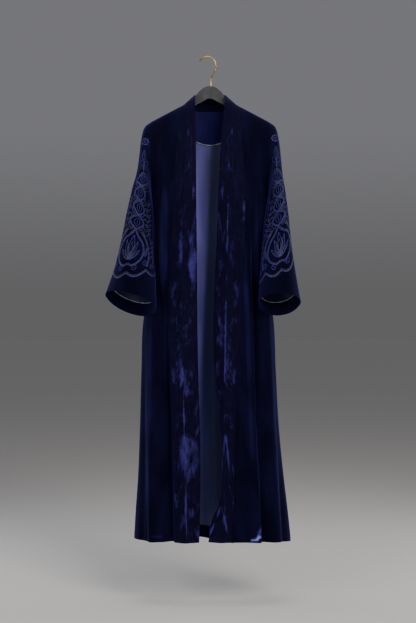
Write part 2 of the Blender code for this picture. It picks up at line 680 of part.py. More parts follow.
for old in list(bpy.data.objects):
    bpy.data.objects.remove(old, do_unlink=True)

collection = bpy.data.collections.new("abaya_on_hanger")
bpy.context.scene.collection.children.link(collection)

velvet = new_material("navy velvet", (0.010, 0.011, 0.050), 0.75)
band_velvet = new_material("navy velvet, pressed nap", (0.014, 0.015, 0.070), 0.60)
satin = new_material("slate blue satin", (0.028, 0.036, 0.115), 0.35)
grey_cord = new_material("grey piping cord", (0.160, 0.160, 0.180), 0.50)
charcoal = new_material("charcoal painted board", (0.028, 0.029, 0.034), 0.60)
gold_wire = new_material("gold plated wire", (0.560, 0.360, 0.130), 0.30, 1.0)

add_body()
add_neck()
add_sleeves()
add_linings()
add_cuff_linings()
add_hanger()
add_hook()
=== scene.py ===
import math

import bpy
import numpy as np
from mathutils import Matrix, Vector


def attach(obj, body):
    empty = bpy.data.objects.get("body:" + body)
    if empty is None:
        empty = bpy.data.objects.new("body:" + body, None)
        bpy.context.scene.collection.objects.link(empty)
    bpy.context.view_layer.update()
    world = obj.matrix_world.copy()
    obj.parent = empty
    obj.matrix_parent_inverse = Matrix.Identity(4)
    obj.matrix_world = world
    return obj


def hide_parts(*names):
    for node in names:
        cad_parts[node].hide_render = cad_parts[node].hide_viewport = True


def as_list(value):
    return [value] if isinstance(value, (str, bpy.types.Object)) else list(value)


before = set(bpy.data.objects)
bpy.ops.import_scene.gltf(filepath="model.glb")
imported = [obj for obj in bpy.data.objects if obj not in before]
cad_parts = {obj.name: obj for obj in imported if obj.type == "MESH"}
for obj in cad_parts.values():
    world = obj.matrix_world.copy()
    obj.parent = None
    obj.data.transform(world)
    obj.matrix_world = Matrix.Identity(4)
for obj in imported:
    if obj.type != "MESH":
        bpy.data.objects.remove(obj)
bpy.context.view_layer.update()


print("frame loaded")

# The cut and hang of the garment, in metres; the solids are worked out from the same values
garment = {
    "middleX": 0.008,
    "hemZ": -1.536,
    "cuffDrop": 1.3,
    "hemSideDrop": {"left": 0.0, "right": 0.012},
    "backDip": 0.020,
    "neckPoint": (0.047, -0.1205),
    "shoulderBend": (0.083, -0.1530),
    "shoulderTip": (0.188, -0.2087),
    "bandAtShoulder": 0.095,
    "underarmZ": -0.432,
    "armholeDepth": 0.050,
    "shoulderRoll": 0.034,
    "neckDepth": 0.036,
    "neckBand": 0.060,
    "neckSag": 0.003,
    "neckEdgeSag": 0.006,
    "neckLean": 0.002,
    "sideFullness": 0.25,
    "edgeCurve": 1.2,
    "seamThin": 0.6,
    "armholeRows": 3,
    "foldFade": 28,
    "topTurn": 20,
    "velvet": 0.0020,
    "satin": 0.0010,
    "seamGap": 0.0003,
    "layerGap": 0.0005,
    "hemTurn": 0.0015,
    "bandHalf": 0.025,
    "panelNarrow": 0.070,
    "panelHalf": 0.100,
    "probe": 0.0004,
}
middleX, hemZ = garment["middleX"], garment["hemZ"]

bodyColumns = ("height", "left", "right", "depth", "setBack", "turn")
bodyRows = (
    (-0.120, 0.188, 0.188, 0.036, 0.000, 20),
    (-0.210, 0.188, 0.188, 0.036, 0.000, 20),
    (-0.300, 0.188, 0.188, 0.046, 0.000, 30),
    (-0.370, 0.187, 0.187, 0.052, 0.000, 62),
    (-0.431, 0.1865, 0.1860, 0.056, 0.000, 90),
    (-0.470, 0.1865, 0.1860, 0.058, 0.002, 90),
    (-0.540, 0.1870, 0.1840, 0.060, 0.007, 90),
    (-0.620, 0.190, 0.184, 0.062, 0.012, 90),
    (-0.700, 0.192, 0.185, 0.064, 0.017, 90),
    (-0.770, 0.201, 0.193, 0.066, 0.019, 90),
    (-0.842, 0.213, 0.203, 0.070, 0.017, 90),
    (-1.000, 0.219, 0.210, 0.077, 0.010, 90),
    (-1.200, 0.224, 0.221, 0.086, 0.006, 90),
    (-1.350, 0.230, 0.236, 0.093, 0.004, 90),
    (-1.450, 0.237, 0.248, 0.098, 0.003, 90),
    (-1.536, 0.242, 0.257, 0.102, 0.003, 90),
)

bandColumns = ("height", "edge", "crease", "seam", "turnBack", "ridge")
bandRows = {
    "left": (
        (-0.120, 0.0470, 0.071, 0.095, 0.000, 0.000),
        (-0.165, 0.0470, 0.071, 0.095, 0.001, 0.001),
        (-0.300, 0.0445, 0.075, 0.108, 0.004, 0.003),
        (-0.504, 0.0430, 0.086, 0.117, 0.006, 0.004),
        (-0.660, 0.0410, 0.086, 0.125, 0.006, 0.004),
        (-0.867, 0.0395, 0.086, 0.128, 0.007, 0.004),
        (-1.040, 0.0360, 0.084, 0.126, 0.008, 0.005),
        (-1.200, 0.0310, 0.081, 0.119, 0.010, 0.006),
        (-1.330, 0.0300, 0.079, 0.112, 0.010, 0.006),
        (-1.536, 0.0335, 0.075, 0.106, 0.006, 0.005),
    ),
    "right": (
        (-0.120, 0.0470, 0.071, 0.095, 0.000, 0.000),
        (-0.165, 0.0450, 0.071, 0.095, 0.001, 0.001),
        (-0.270, 0.0350, 0.078, 0.101, 0.006, 0.004),
        (-0.412, 0.0270, 0.069, 0.108, 0.012, 0.005),
        (-0.580, 0.0215, 0.059, 0.104, 0.015, 0.005),
        (-0.706, 0.0157, 0.054, 0.098, 0.017, 0.005),
        (-0.867, 0.0116, 0.050, 0.092, 0.020, 0.006),
        (-1.000, 0.0150, 0.047, 0.083, 0.026, 0.008),
        (-1.170, 0.0315, 0.046, 0.080, 0.026, 0.006),
        (-1.330, 0.0370, 0.051, 0.076, 0.024, 0.006),
        (-1.420, 0.0270, 0.048, 0.073, 0.022, 0.006),
        (-1.470, 0.0050, 0.040, 0.069, 0.016, 0.008),
        (-1.536, -0.0050, 0.034, 0.066, 0.010, 0.006),
    ),
}

# Folds: the first rows of each table are the solids' folds, and the finer creases follow
foldColumns = ("place", "hemPlace", "halfWidth", "depth", "start", "full")
foldRows = {
    "left": (
        (0.155, 0.129, 0.026, -0.032, -0.60, -1.15),
        (0.192, 0.170, 0.034, 0.014, -0.55, -1.20),
        (0.149, 0.129, 0.026, 0.008, -0.22, -0.55),
        (0.085, 0.075, 0.060, 0.010, -0.50, -1.30),
        (0.150, 0.148, 0.011, 0.0040, -0.20, -0.62),
        (0.124, 0.152, 0.014, -0.0040, -0.24, -0.95),
        (0.170, 0.171, 0.016, 0.0035, -0.48, -0.90),
        (0.205, 0.214, 0.015, -0.0040, -0.80, -1.30),
        (0.180, 0.182, 0.012, 0.0030, -0.95, -1.45),
        (0.100, 0.098, 0.010, -0.0022, -0.60, -0.95),
    ),
    "right": (
        (0.097, 0.140, 0.030, 0.013, -0.22, -0.80),
        (0.122, 0.169, 0.021, -0.013, -0.22, -0.80),
        (0.150, 0.205, 0.030, 0.010, -0.25, -0.90),
        (0.090, 0.069, 0.006, 0.0034, -0.34, -0.98),
        (0.146, 0.140, 0.014, -0.0060, -0.20, -0.46),
        (0.128, 0.146, 0.018, 0.0050, -0.22, -0.70),
        (0.164, 0.158, 0.012, 0.0045, -0.22, -0.55),
        (0.120, 0.130, 0.012, -0.0028, -0.60, -1.10),
        (0.196, 0.232, 0.016, -0.0045, -0.85, -1.35),
        (0.150, 0.196, 0.011, 0.0030, -0.90, -1.40),
    ),
    "back": (
        (-0.150, -0.178, 0.042, 0.024, -0.50, -1.35),
        (-0.095, -0.118, 0.036, -0.020, -0.42, -1.30),
        (-0.042, -0.048, 0.044, 0.028, -0.36, -1.40),
        (0.012, 0.016, 0.034, -0.019, -0.45, -1.30),
        (0.062, 0.080, 0.042, 0.030, -0.40, -1.40),
        (0.112, 0.142, 0.036, -0.021, -0.48, -1.30),
        (0.152, 0.196, 0.038, 0.018, -0.60, -1.40),
        (-0.126, -0.150, 0.013, 0.0045, -0.26, -0.90),
        (-0.070, -0.082, 0.012, -0.0040, -0.34, -1.10),
        (-0.016, -0.020, 0.010, 0.0030, -0.55, -1.20),
        (0.036, 0.046, 0.013, -0.0045, -0.30, -0.95),
        (0.090, 0.110, 0.011, 0.0038, -0.42, -1.15),
        (0.130, 0.166, 0.014, -0.0040, -0.28, -0.85),
    ),
}

sleeveColumns = ("outX", "outY", "outZ", "inX", "inY", "inZ", "halfDepth", "frontLift",
                 "backShare")
sleeveRows = {
    "left": (
        (0.1881, 0.000, -0.2087, 0.1870, 0.000, -0.432, 0.050, 0.000, 1.00),
        (0.2085, 0.000, -0.2265, 0.1872, -0.004, -0.438, 0.060, 0.000, 0.95),
        (0.2185, -0.002, -0.2640, 0.1868, -0.010, -0.444, 0.069, 0.000, 0.86),
        (0.2240, -0.005, -0.3150, 0.1860, -0.018, -0.451, 0.076, 0.000, 0.73),
        (0.2290, -0.008, -0.3700, 0.1848, -0.030, -0.461, 0.079, 0.000, 0.58),
        (0.2350, -0.012, -0.4250, 0.1840, -0.043, -0.481, 0.078, 0.000, 0.47),
        (0.2380, -0.015, -0.4850, 0.1840, -0.054, -0.521, 0.074, 0.000, 0.42),
        (0.2500, -0.018, -0.5500, 0.1850, -0.066, -0.575, 0.070, 0.004, 0.46),
        (0.2710, -0.021, -0.6200, 0.1840, -0.076, -0.640, 0.067, 0.012, 0.60),
        (0.2920, -0.024, -0.6900, 0.1765, -0.095, -0.705, 0.062, 0.021, 0.75),
        (0.3255, -0.027, -0.7730, 0.1715, -0.113, -0.796, 0.057, 0.030, 0.85),
    ),
    "right": (
        (0.1881, 0.000, -0.2087, 0.1870, 0.000, -0.432, 0.050, 0.000, 1.00),
        (0.2085, 0.000, -0.2265, 0.1872, -0.004, -0.438, 0.060, 0.000, 0.95),
        (0.2185, -0.002, -0.2640, 0.1866, -0.011, -0.444, 0.069, 0.000, 0.86),
        (0.2240, -0.005, -0.3150, 0.1850, -0.020, -0.451, 0.076, 0.000, 0.73),
        (0.2265, -0.008, -0.3700, 0.1830, -0.031, -0.461, 0.079, 0.000, 0.56),
        (0.2255, -0.012, -0.4250, 0.1800, -0.046, -0.482, 0.076, 0.000, 0.45),
        (0.2230, -0.018, -0.4850, 0.1765, -0.058, -0.522, 0.071, 0.000, 0.41),
        (0.2270, -0.025, -0.5500, 0.1725, -0.071, -0.572, 0.066, 0.005, 0.45),
        (0.2390, -0.031, -0.6220, 0.1695, -0.084, -0.632, 0.062, 0.014, 0.60),
        (0.2570, -0.036, -0.7000, 0.1625, -0.101, -0.694, 0.058, 0.024, 0.75),
        (0.2790, -0.040, -0.7980, 0.1560, -0.117, -0.774, 0.054, 0.033, 0.85),
    ),
}
sleeveFoldColumns = ("angle", "halfAngle", "depth", "fromRow", "toRow")
sleeveFoldRows = (
    (215, 40, -0.0035, 4.0, 9.0),
    (255, 34, 0.0030, 5.0, 9.5),
    (125, 40, -0.0035, 5.0, 9.5),
    (65, 36, 0.0030, 5.5, 9.5),
    (300, 14, 0.0016, 4.0, 8.6),
    (332, 16, -0.0018, 5.0, 9.8),
    (238, 12, 0.0015, 6.5, 9.9),
    (150, 16, 0.0018, 4.5, 9.2),
    (98, 14, -0.0016, 5.0, 9.6),
)


# the values of one named column of a table
def column(names, rows, name):
    return np.array([row[names.index(name)] for row in rows], dtype=float)


# a smooth curve through the rows of a table: cubic pieces whose slopes are the rows' own
def smoothRead(places, values, place):
    order = np.argsort(places)
    xs, ys = places[order], values[order]
    slopes = np.gradient(ys, xs)
    place = np.clip(place, xs[0], xs[-1])
    row = np.clip(np.searchsorted(xs, place, side="right") - 1, 0, len(xs) - 2)
    step = xs[row + 1] - xs[row]
    t = (place - xs[row]) / step
    rise = ys[row] * (1 + 2 * t) * (1 - t) ** 2 + ys[row + 1] * t * t * (3 - 2 * t)
    lean = slopes[row] * t * (1 - t) ** 2 - slopes[row + 1] * t * t * (1 - t)
    return rise + lean * step


# a size of the body's section at a height, read from its table
def bodyAt(name, z):
    return smoothRead(column(bodyColumns, bodyRows, "height"),
                      column(bodyColumns, bodyRows, name), z)


# a size of a front band at a height, read from its side's table
def bandAt(side, name, z):
    rows = bandRows[side]
    return smoothRead(column(bandColumns, rows, "height"), column(bandColumns, rows, name), z)


# 0 below low and 1 above high; between them three times the square of the share of the way less
# twice its cube
def ease(low, high, value):
    t = np.clip((value - low) / (high - low), 0, 1)
    return t * t * (3 - 2 * t)


# a rounded ridge, the square of a cosine: 1 at its middle, 0 at its feet
def bump(distance, halfWidth):
    return np.cos(np.clip(distance / halfWidth, -1, 1) * math.pi / 2) ** 2


# height of the shoulder at a distance out from the middle: straight between three points
def shoulderLine(x):
    points = (garment["neckPoint"], garment["shoulderBend"], garment["shoulderTip"])
    return np.interp(x, [point[0] for point in points], [point[1] for point in points])


# half width of a loop that is round at its top and pointed at its foot: the square root of the
# share of the way down times what is left of it, scaled to reach 1
def eyeShape(share):
    share = np.clip(share, 0, 1)
    return 1.5 * math.sqrt(3) * np.sqrt(share) * (1 - share)


# how far the armhole's edge stands forward or back at a drop below the shoulder tip
def armhole(drop):
    whole = garment["shoulderTip"][1] - garment["underarmZ"]
    return garment["armholeDepth"] * eyeShape(drop / whole)


# how far a length of cloth drops and stands out after it turns over the hanger: a quarter of a
# circle, then straight down
def rolled(down):
    roll = garment["shoulderRoll"]
    angle = np.clip(down / roll, -math.pi / 2, math.pi / 2)
    straight = np.maximum(down - roll * math.pi / 2, 0)
    return roll * (1 - np.cos(angle)) + straight, np.sin(angle)


wholeDrop = garment["shoulderTip"][1] - hemZ
wholeDown = wholeDrop + garment["shoulderRoll"] * (math.pi / 2 - 1)
topTurn = math.radians(garment["topTurn"])


# every fold of a panel added up: each is a ridge or trough that grows down from its start
def foldDepth(table, place, z, turnLeft):
    total = np.zeros_like(z)
    for row in foldRows[table]:
        fold = dict(zip(foldColumns, row))
        way = np.clip((fold["start"] - z) / (fold["start"] - hemZ), 0, 1)
        centre = fold["place"] + (fold["hemPlace"] - fold["place"]) * way
        growth = ease(-fold["start"], -fold["full"], -z)
        total += fold["depth"] * growth * bump(place - centre, fold["halfWidth"])
    return total * ease(0, math.radians(garment["foldFade"]), turnLeft)


# The pressed bands pucker a little between the seam and the crease: two sines multiplied give
# long waves, and a sine shifted by another gives runs of short ones. Each has its half depth,
# waves (radians a metre), and the rate and size of what varies them.
pucker = {
    "long": (0.0011, 41, 17, 1.3), "short": (0.0006, 118, 23, 2), "shortFrom": (0.35, 1.0),
    "phase": {"left": 0.0, "right": 2.1},
}


def bandPucker(side, across, z):
    phase = pucker["phase"][side]
    longHalf, longRate, swellRate, swellShift = pucker["long"]
    shortHalf, shortRate, driftRate, drift = pucker["short"]
    long = np.sin(z * longRate + phase) * np.sin(z * swellRate + swellShift + phase)
    short = np.sin(z * shortRate + drift * np.sin(z * driftRate) + phase)
    short = short * ease(*pucker["shortFrom"], -z)
    shape = np.sin(np.clip(across, 0, 1) * 2 * math.pi) ** 2
    return (longHalf * long + shortHalf * short) * shape


# half of the front: across 0 to 1 is the band and 1 to 2 is the panel. The garment's section at
# a height is an ellipse, flattened into the armhole, with the folds laid on along its normal
def frontSurface(side):
    mirror = -1 if side == "left" else 1
    tipX = garment["shoulderTip"][0]
    bandTop = garment["bandAtShoulder"]

    def seamTurn(seam, width, turn):
        return np.arcsin(np.clip(seam * np.sin(turn) / width, -1, 1))

    def surface(across, down):
        onBand = np.clip(across, -1, 1)
        onPanel = across - 1
        topSeam = seamTurn(bandTop, tipX, topTurn)
        topPanel = tipX / math.sin(topTurn) * np.sin(topSeam + (topTurn - topSeam) * onPanel)
        topBand = garment["neckPoint"][0] + (bandTop - garment["neckPoint"][0]) * onBand
        topZ = shoulderLine(np.where(across < 1, topBand, topPanel))
        drop, outward = rolled(down)
        hem = hemZ - garment["hemSideDrop"][side] * np.clip(onPanel, 0, None) ** 2
        z = topZ - drop * (topZ - hem) / wholeDrop

        turn = np.radians(bodyAt("turn", z))
        width = bodyAt(side, z)
        edge, crease, seam = (bandAt(side, name, z) for name in ("edge", "crease", "seam"))
        onInner = np.clip(onBand * 2, -1, 1)
        onOuter = np.clip(onBand * 2 - 1, 0, 1)
        bandX = edge + (crease - edge) * onInner + (seam - crease) * onOuter
        start = seamTurn(seam, width, turn)
        angle = np.where(across < 1, seamTurn(bandX, width, turn),
                         start + (turn - start) * onPanel)
        x = np.where(across < 1, bandX, width * np.sin(angle) / np.sin(turn))

        arm = armhole(drop)
        roundShare = (np.cos(angle) - np.cos(turn)) / (1 - np.cos(turn))
        full = bodyAt("depth", z) * (1 + garment["sideFullness"] * np.sin(angle) ** 2)
        depth = arm * np.sign(down) * (1 - roundShare) ** 2 + full * roundShare * outward
        folds = foldDepth(side, x, z, turn - angle) + bandPucker(side, across, z)
        shapeBack = bandAt(side, "turnBack", z) * (1 - onInner) ** garment["edgeCurve"]
        shapeOut = bandAt(side, "ridge", z) * (onInner - onOuter) ** 2
        x = x + folds * np.sin(angle)
        y = bodyAt("setBack", z) - depth - folds * np.cos(angle) + shapeBack - shapeOut
        return np.stack([middleX + mirror * x, y, z], axis=-1)

    return surface


# where the back's top edge lies out from the middle, and how far it is into the neck: 1 at the
# middle of the neck and 0 from the shoulder on, along an ellipse
def backTop(across):
    tipX = garment["shoulderTip"][0]
    topX = tipX * np.sin(topTurn * np.abs(across)) / math.sin(topTurn)
    return topX, np.sqrt(np.clip(1 - (topX / garment["bandAtShoulder"]) ** 2, 0, 1))


# the standing band behind the neck, which narrows from the seam up to its edge
def neckSurface(across, up):
    bandTop = garment["bandAtShoulder"]
    topX, neck = backTop(across)
    rise = up / garment["neckBand"]
    out = bandTop + (garment["neckPoint"][0] - bandTop) * rise
    x = np.sign(across) * out * np.minimum(topX / bandTop, 1)
    y = (garment["neckDepth"] - garment["neckLean"] * rise) * neck
    sag = garment["neckSag"] + (garment["neckEdgeSag"] - garment["neckSag"]) * rise
    return np.stack([middleX + x, y, shoulderLine(out) - sag * neck], axis=-1)


# the back, from -1 at the left side seam to 1 at the right: the same kind of section as the front
def backSurface(across, down):
    bandTop = garment["bandAtShoulder"]
    topX, neck = backTop(across)
    neckZ = shoulderLine(bandTop) - garment["neckSag"] * neck
    topZ = np.where(topX < bandTop, neckZ, shoulderLine(topX))
    drop, outward = rolled(down)
    drop = drop * (1 - neck) + down * wholeDrop / wholeDown * neck
    sides = garment["hemSideDrop"]
    hem = hemZ - np.where(across < 0, sides["left"], sides["right"]) * across ** 2
    hem = hem - garment["backDip"] * bump(across, 1)
    z = topZ - drop * (topZ - hem) / wholeDrop

    turn = np.radians(bodyAt("turn", z))
    width = np.where(across < 0, bodyAt("left", z), bodyAt("right", z))
    angle = turn * np.abs(across)
    x = np.sign(across) * width * np.sin(angle) / np.sin(turn)
    arm = armhole(drop)
    roundShare = (np.cos(angle) - np.cos(turn)) / (1 - np.cos(turn))
    full = bodyAt("depth", z) * (1 + garment["sideFullness"] * np.sin(angle) ** 2)
    depth = arm * np.sign(down) * (1 - roundShare) ** 2 + full * roundShare * outward
    depth = depth + garment["neckDepth"] * neck * (1 - outward)
    folds = foldDepth("back", x, z, turn - angle)
    x = x + np.sign(across) * folds * np.sin(angle)
    y = bodyAt("setBack", z) + depth + folds * np.cos(angle)
    return np.stack([middleX + x, y, z], axis=-1)


# one sleeve: each row of its table is a section like an ellipse between an outer and an inner
# end, pointed like the armhole at the top; across turns round it and down counts the rows
def sleeveSurface(side):
    mirror = -1 if side == "left" else 1
    rows = sleeveRows[side]
    places = np.arange(len(rows), dtype=float)

    def read(name, down):
        return smoothRead(places, column(sleeveColumns, rows, name), down)

    def surface(across, down):
        outer = np.stack([read(name, down) for name in ("outX", "outY", "outZ")], axis=-1)
        inner = np.stack([read(name, down) for name in ("inX", "inY", "inZ")], axis=-1)
        middle, reach = (outer + inner) / 2, (outer - inner) / 2
        atArmhole = 1 - ease(0, garment["armholeRows"], down)
        length = np.linalg.norm(reach, axis=-1, keepdims=True)
        sideways = -reach * reach[..., 1:2] / length ** 2
        sideways[..., 1] += 1
        sideways = sideways / np.linalg.norm(sideways, axis=-1, keepdims=True)
        folds = np.zeros_like(down)
        for row in sleeveFoldRows:
            fold = dict(zip(sleeveFoldColumns, row))
            apart = (across - math.radians(fold["angle"]) + math.pi) % (2 * math.pi) - math.pi
            span = (fold["toRow"] - fold["fromRow"]) / 2
            along = bump(down - fold["fromRow"] - span, span)
            folds += fold["depth"] * along * bump(apart, math.radians(fold["halfAngle"]))
        half = read("halfDepth", down)
        half = half * np.where(np.sin(across) > 0, read("backShare", down), 1)
        eye = np.sign(np.sin(across)) * eyeShape((1 - np.cos(across)) / 2)
        c = np.cos(across)[..., None]
        s = (np.sin(across) * (1 - atArmhole) + eye * atArmhole)[..., None]
        grow = (1 + folds / np.minimum(half, length[..., 0]))[..., None]
        point = middle + (reach * c + sideways * half[..., None] * s) * grow
        hang = np.where(np.sin(across) > 0, garment["cuffDrop"], 1)
        point[..., 2] -= read("frontLift", down) * np.sin(across) * hang
        point[..., 0] = middleX + mirror * point[..., 0]
        return point

    return surface


# unit vectors square to a surface, from small steps along it both ways
def normals(surface, across, down):
    probe = garment["probe"]
    along = surface(across + probe, down) - surface(across - probe, down)
    below = surface(across, down + probe) - surface(across, down - probe)
    square = np.cross(below, along)
    return square / np.linalg.norm(square, axis=-1, keepdims=True)


# two whole grids of places from a row of places across and a column of places down
def grid(across, down):
    return np.meshgrid(np.asarray(across, dtype=float), np.asarray(down, dtype=float))


# linear colour of an sRGB hex text: each channel over 255, then the sRGB curve undone
def fromHex(text):
    channels = np.array([int(text[i:i + 2], 16) for i in (0, 2, 4)]) / 255
    low, high = channels / 12.92, ((channels + 0.055) / 1.055) ** 2.4
    return (*[float(value) for value in np.where(channels <= 0.04045, low, high)], 1.0)


# adds one node with its settings and inputs; an input that is a node or a socket is linked
def addNode(tree, kind, settings, inputs):
    node = tree.nodes.new("ShaderNode" + kind)
    for name, value in settings.items():
        setattr(node, name, value)
    for name, value in inputs.items():
        if isinstance(value, bpy.types.Node):
            value = next(socket for socket in value.outputs if socket.enabled)
        if isinstance(value, bpy.types.NodeSocket):
            tree.links.new(value, node.inputs[name])
        else:
            node.inputs[name].default_value = fromHex(value) if isinstance(value, str) else value
    return node


# a Principled material with fixed numbers on its own sockets
def newMaterial(name, fixed):
    material = bpy.data.materials.new(name)
    material.use_nodes = True
    tree = material.node_tree
    shader = tree.nodes["Principled BSDF"]
    for socket, value in fixed.items():
        shader.inputs[socket].default_value = fromHex(value) if isinstance(value, str) else value
    return material, tree, shader


# links a material's colour, roughness and surface relief to its shader
def finishMaterial(tree, shader, colour, roughness, relief):
    for socket, node in (("Base Color", colour), ("Roughness", roughness), ("Normal", relief)):
        output = next(output for output in node.outputs if output.enabled)
        tree.links.new(output, shader.inputs[socket])


rgba = {"data_type": "RGBA"}
smooth = {"interpolation_type": "SMOOTHSTEP"}

# Silk-look velvet, woven double and cut to a 1.5 mm pile, then washed. The pile swallows light
# seen head on and shines where the folds turn away, so it is near black with a strong blue sheen.
# turned and shine are painted highlight colours, mixed in partly by the random brushed tone and
# mostly by the painted light and shade mark
velvetLook = {
    "deep": "080716", "lit": "0f0d28", "nap": "17153c", "turned": "221e56", "shine": "7c78cc",
    "sheen": "6054c4", "napSize": 0.090, "streakSize": 0.018, "pileSize": 0.0016,
}
velvet, tree, shader = newMaterial("cut pile velvet, navy", {
    "Sheen Weight": 0.30, "Sheen Roughness": 0.42, "Sheen Tint": velvetLook["sheen"],
    "Specular IOR Level": 0.06, "Specular Tint": velvetLook["sheen"], "IOR": 1.4})
cloth = addNode(tree, "UVMap", {"uv_map": "clothPlace"}, {})
drawn = addNode(tree, "Mapping", {}, {"Vector": cloth, "Scale": (1.0, 0.35, 1.0)})
brushedWay = addNode(tree, "Mapping", {}, {"Vector": cloth, "Scale": (1.0, 0.10, 1.0)})
patches = addNode(tree, "TexNoise", {}, {
    "Vector": drawn, "Scale": 1 / velvetLook["napSize"], "Detail": 3.0, "Distortion": 0.4})
streaks = addNode(tree, "TexNoise", {}, {
    "Vector": brushedWay, "Scale": 1 / velvetLook["streakSize"], "Detail": 3.0})
brushed = addNode(tree, "Math", {"operation": "MULTIPLY_ADD"}, {
    0: streaks, 1: 0.25, 2: patches})
tone = addNode(tree, "MapRange", smooth, {"Value": brushed, "From Min": 0.46, "From Max": 0.86})
colour = addNode(tree, "Mix", rgba, {0: tone, 6: velvetLook["deep"], 7: velvetLook["lit"]})
pile = addNode(tree, "TexNoise", {}, {
    "Vector": cloth, "Scale": 1 / velvetLook["pileSize"], "Detail": 2.0, "Roughness": 0.7})
tips = addNode(tree, "MapRange", smooth, {
    "Value": pile, "From Min": 0.58, "From Max": 0.80, "To Max": 0.7})
colour = addNode(tree, "Mix", rgba, {0: tips, 6: colour, 7: velvetLook["nap"]})
# painted highlights: the mark lifts the brushed tone into the turned colour and, at the strongest
# patches such as the hem's bright streak, into the shine; on the neck facing it is painted light
# all over
turned = addNode(tree, "Attribute", {"attribute_name": "laidPile"}, {}).outputs["Fac"]
turned = addNode(tree, "Math", {"operation": "MULTIPLY_ADD"}, {0: brushed, 1: 0.9, 2: turned})
shining = addNode(tree, "MapRange", smooth, {
    "Value": turned, "From Min": 1.65, "From Max": 2.45})
turned = addNode(tree, "MapRange", smooth, {
    "Value": turned, "From Min": 0.72, "From Max": 1.55, "To Max": 0.85})
colour = addNode(tree, "Mix", rgba, {0: turned, 6: colour, 7: velvetLook["turned"]})
colour = addNode(tree, "Mix", rgba, {0: shining, 6: colour, 7: velvetLook["shine"]})
gloss = addNode(tree, "MapRange", smooth, {
    "Value": turned, "From Max": 0.85, "To Min": 0.84, "To Max": 0.55})
relief = addNode(tree, "Bump", {}, {"Height": patches, "Strength": 0.25, "Distance": 0.004})
relief = addNode(tree, "Bump", {}, {
    "Height": pile, "Strength": 0.35, "Distance": 0.0008, "Normal": relief})
finishMaterial(tree, shader, colour, gloss, relief)

# The same velvet, its pile pressed flat and crushed along the bands: the flattened pile lies in
# patches that shine like satin, with ragged edges drawn out down the band. The shine is partly
# this crushed pile and partly painted highlights, placed where light catches the bands.
pressedLook = {
    "deep": "060513", "lit": "0b0922", "shine": "383078", "sheen": "6454c0",
    "patchSize": 0.045, "crushSize": 0.014,
}
pressedVelvet, tree, shader = newMaterial("crushed velvet, navy, pressed", {
    "Sheen Weight": 0.22, "Sheen Roughness": 0.40, "Sheen Tint": pressedLook["sheen"],
    "Specular IOR Level": 0.22, "Specular Tint": "8c7cdc", "IOR": 1.45})
cloth = addNode(tree, "UVMap", {"uv_map": "clothPlace"}, {})
drawn = addNode(tree, "Mapping", {}, {"Vector": cloth, "Scale": (1.0, 0.42, 1.0)})
skewed = addNode(tree, "Mapping", {}, {
    "Vector": cloth, "Scale": (1.0, 0.36, 1.0), "Rotation": (0.0, 0.0, 0.12)})
wide = addNode(tree, "TexNoise", {}, {
    "Vector": drawn, "Scale": 1 / pressedLook["patchSize"], "Detail": 4.0, "Roughness": 0.6,
    "Distortion": 0.9})
crush = addNode(tree, "TexNoise", {}, {
    "Vector": skewed, "Scale": 1 / pressedLook["crushSize"], "Detail": 4.0, "Roughness": 0.62,
    "Distortion": 1.2})
wideShare = addNode(tree, "Math", {"operation": "MULTIPLY"}, {0: wide, 1: 0.72})
blend = addNode(tree, "Math", {"operation": "MULTIPLY_ADD"}, {0: crush, 1: 0.38, 2: wideShare})
# painted highlights where light catches the bands, added to the crush noise; the sum crosses into
# the shine colour
pressed = addNode(tree, "Attribute", {"attribute_name": "laidPile"}, {}).outputs["Fac"]
pressed = addNode(tree, "Math", {"operation": "MULTIPLY_ADD"}, {0: blend, 1: 6.0, 2: pressed})
laid = addNode(tree, "MapRange", smooth, {
    "Value": pressed, "From Min": 3.45, "From Max": 5.10, "To Max": 0.80})
mottle = addNode(tree, "MapRange", smooth, {"Value": crush, "From Min": 0.35, "From Max": 0.70})
colour = addNode(tree, "Mix", rgba, {0: mottle, 6: pressedLook["deep"], 7: pressedLook["lit"]})
colour = addNode(tree, "Mix", rgba, {0: laid, 6: colour, 7: pressedLook["shine"]})
gloss = addNode(tree, "MapRange", smooth, {
    "Value": laid, "From Max": 0.80, "To Min": 0.78, "To Max": 0.42})
relief = addNode(tree, "Bump", {}, {"Height": wide, "Strength": 0.35, "Distance": 0.006})
relief = addNode(tree, "Bump", {}, {
    "Height": crush, "Strength": 0.40, "Distance": 0.003, "Normal": relief})
finishMaterial(tree, shader, colour, gloss, relief)

# Polyester satin, woven with long floats down the cloth: smooth slate blue, with a soft streaky
# gloss along the threads. Its colours are made bright, with painted shade toward the neck and the
# hem and painted shade right of a slanting line, where the right band shades the lining; in the
# sleeves painted shade makes it darker all over.
# Real floats are about 0.1 mm wide; they are drawn 0.9 mm wide so that they show.
satinLook = {"deep": "6462b0", "lit": "9894f4", "paintedShadeRight": "4a4f80", "paintedSleeveShade": "161a34",
             "floatSize": 0.0009, "shadeSize": 0.12}
satin, tree, shader = newMaterial("woven satin, slate blue", {
    "Anisotropic": 0.45, "Specular IOR Level": 0.15, "Sheen Weight": 0.10,
    "Sheen Roughness": 0.4, "Sheen Tint": "8c96d8", "IOR": 1.5})
cloth = addNode(tree, "UVMap", {"uv_map": "clothPlace"}, {})
floats = addNode(tree, "Mapping", {}, {"Vector": cloth, "Scale": (1.0, 0.03, 1.0)})
drawn = addNode(tree, "Mapping", {}, {"Vector": cloth, "Scale": (1.0, 0.25, 1.0)})
weave = addNode(tree, "TexNoise", {}, {
    "Vector": floats, "Scale": 1 / satinLook["floatSize"], "Detail": 2.0})
shade = addNode(tree, "TexNoise", {}, {
    "Vector": drawn, "Scale": 1 / satinLook["shadeSize"], "Detail": 2.0})
tone = addNode(tree, "MapRange", smooth, {"Value": shade, "From Min": 0.35, "From Max": 0.70})
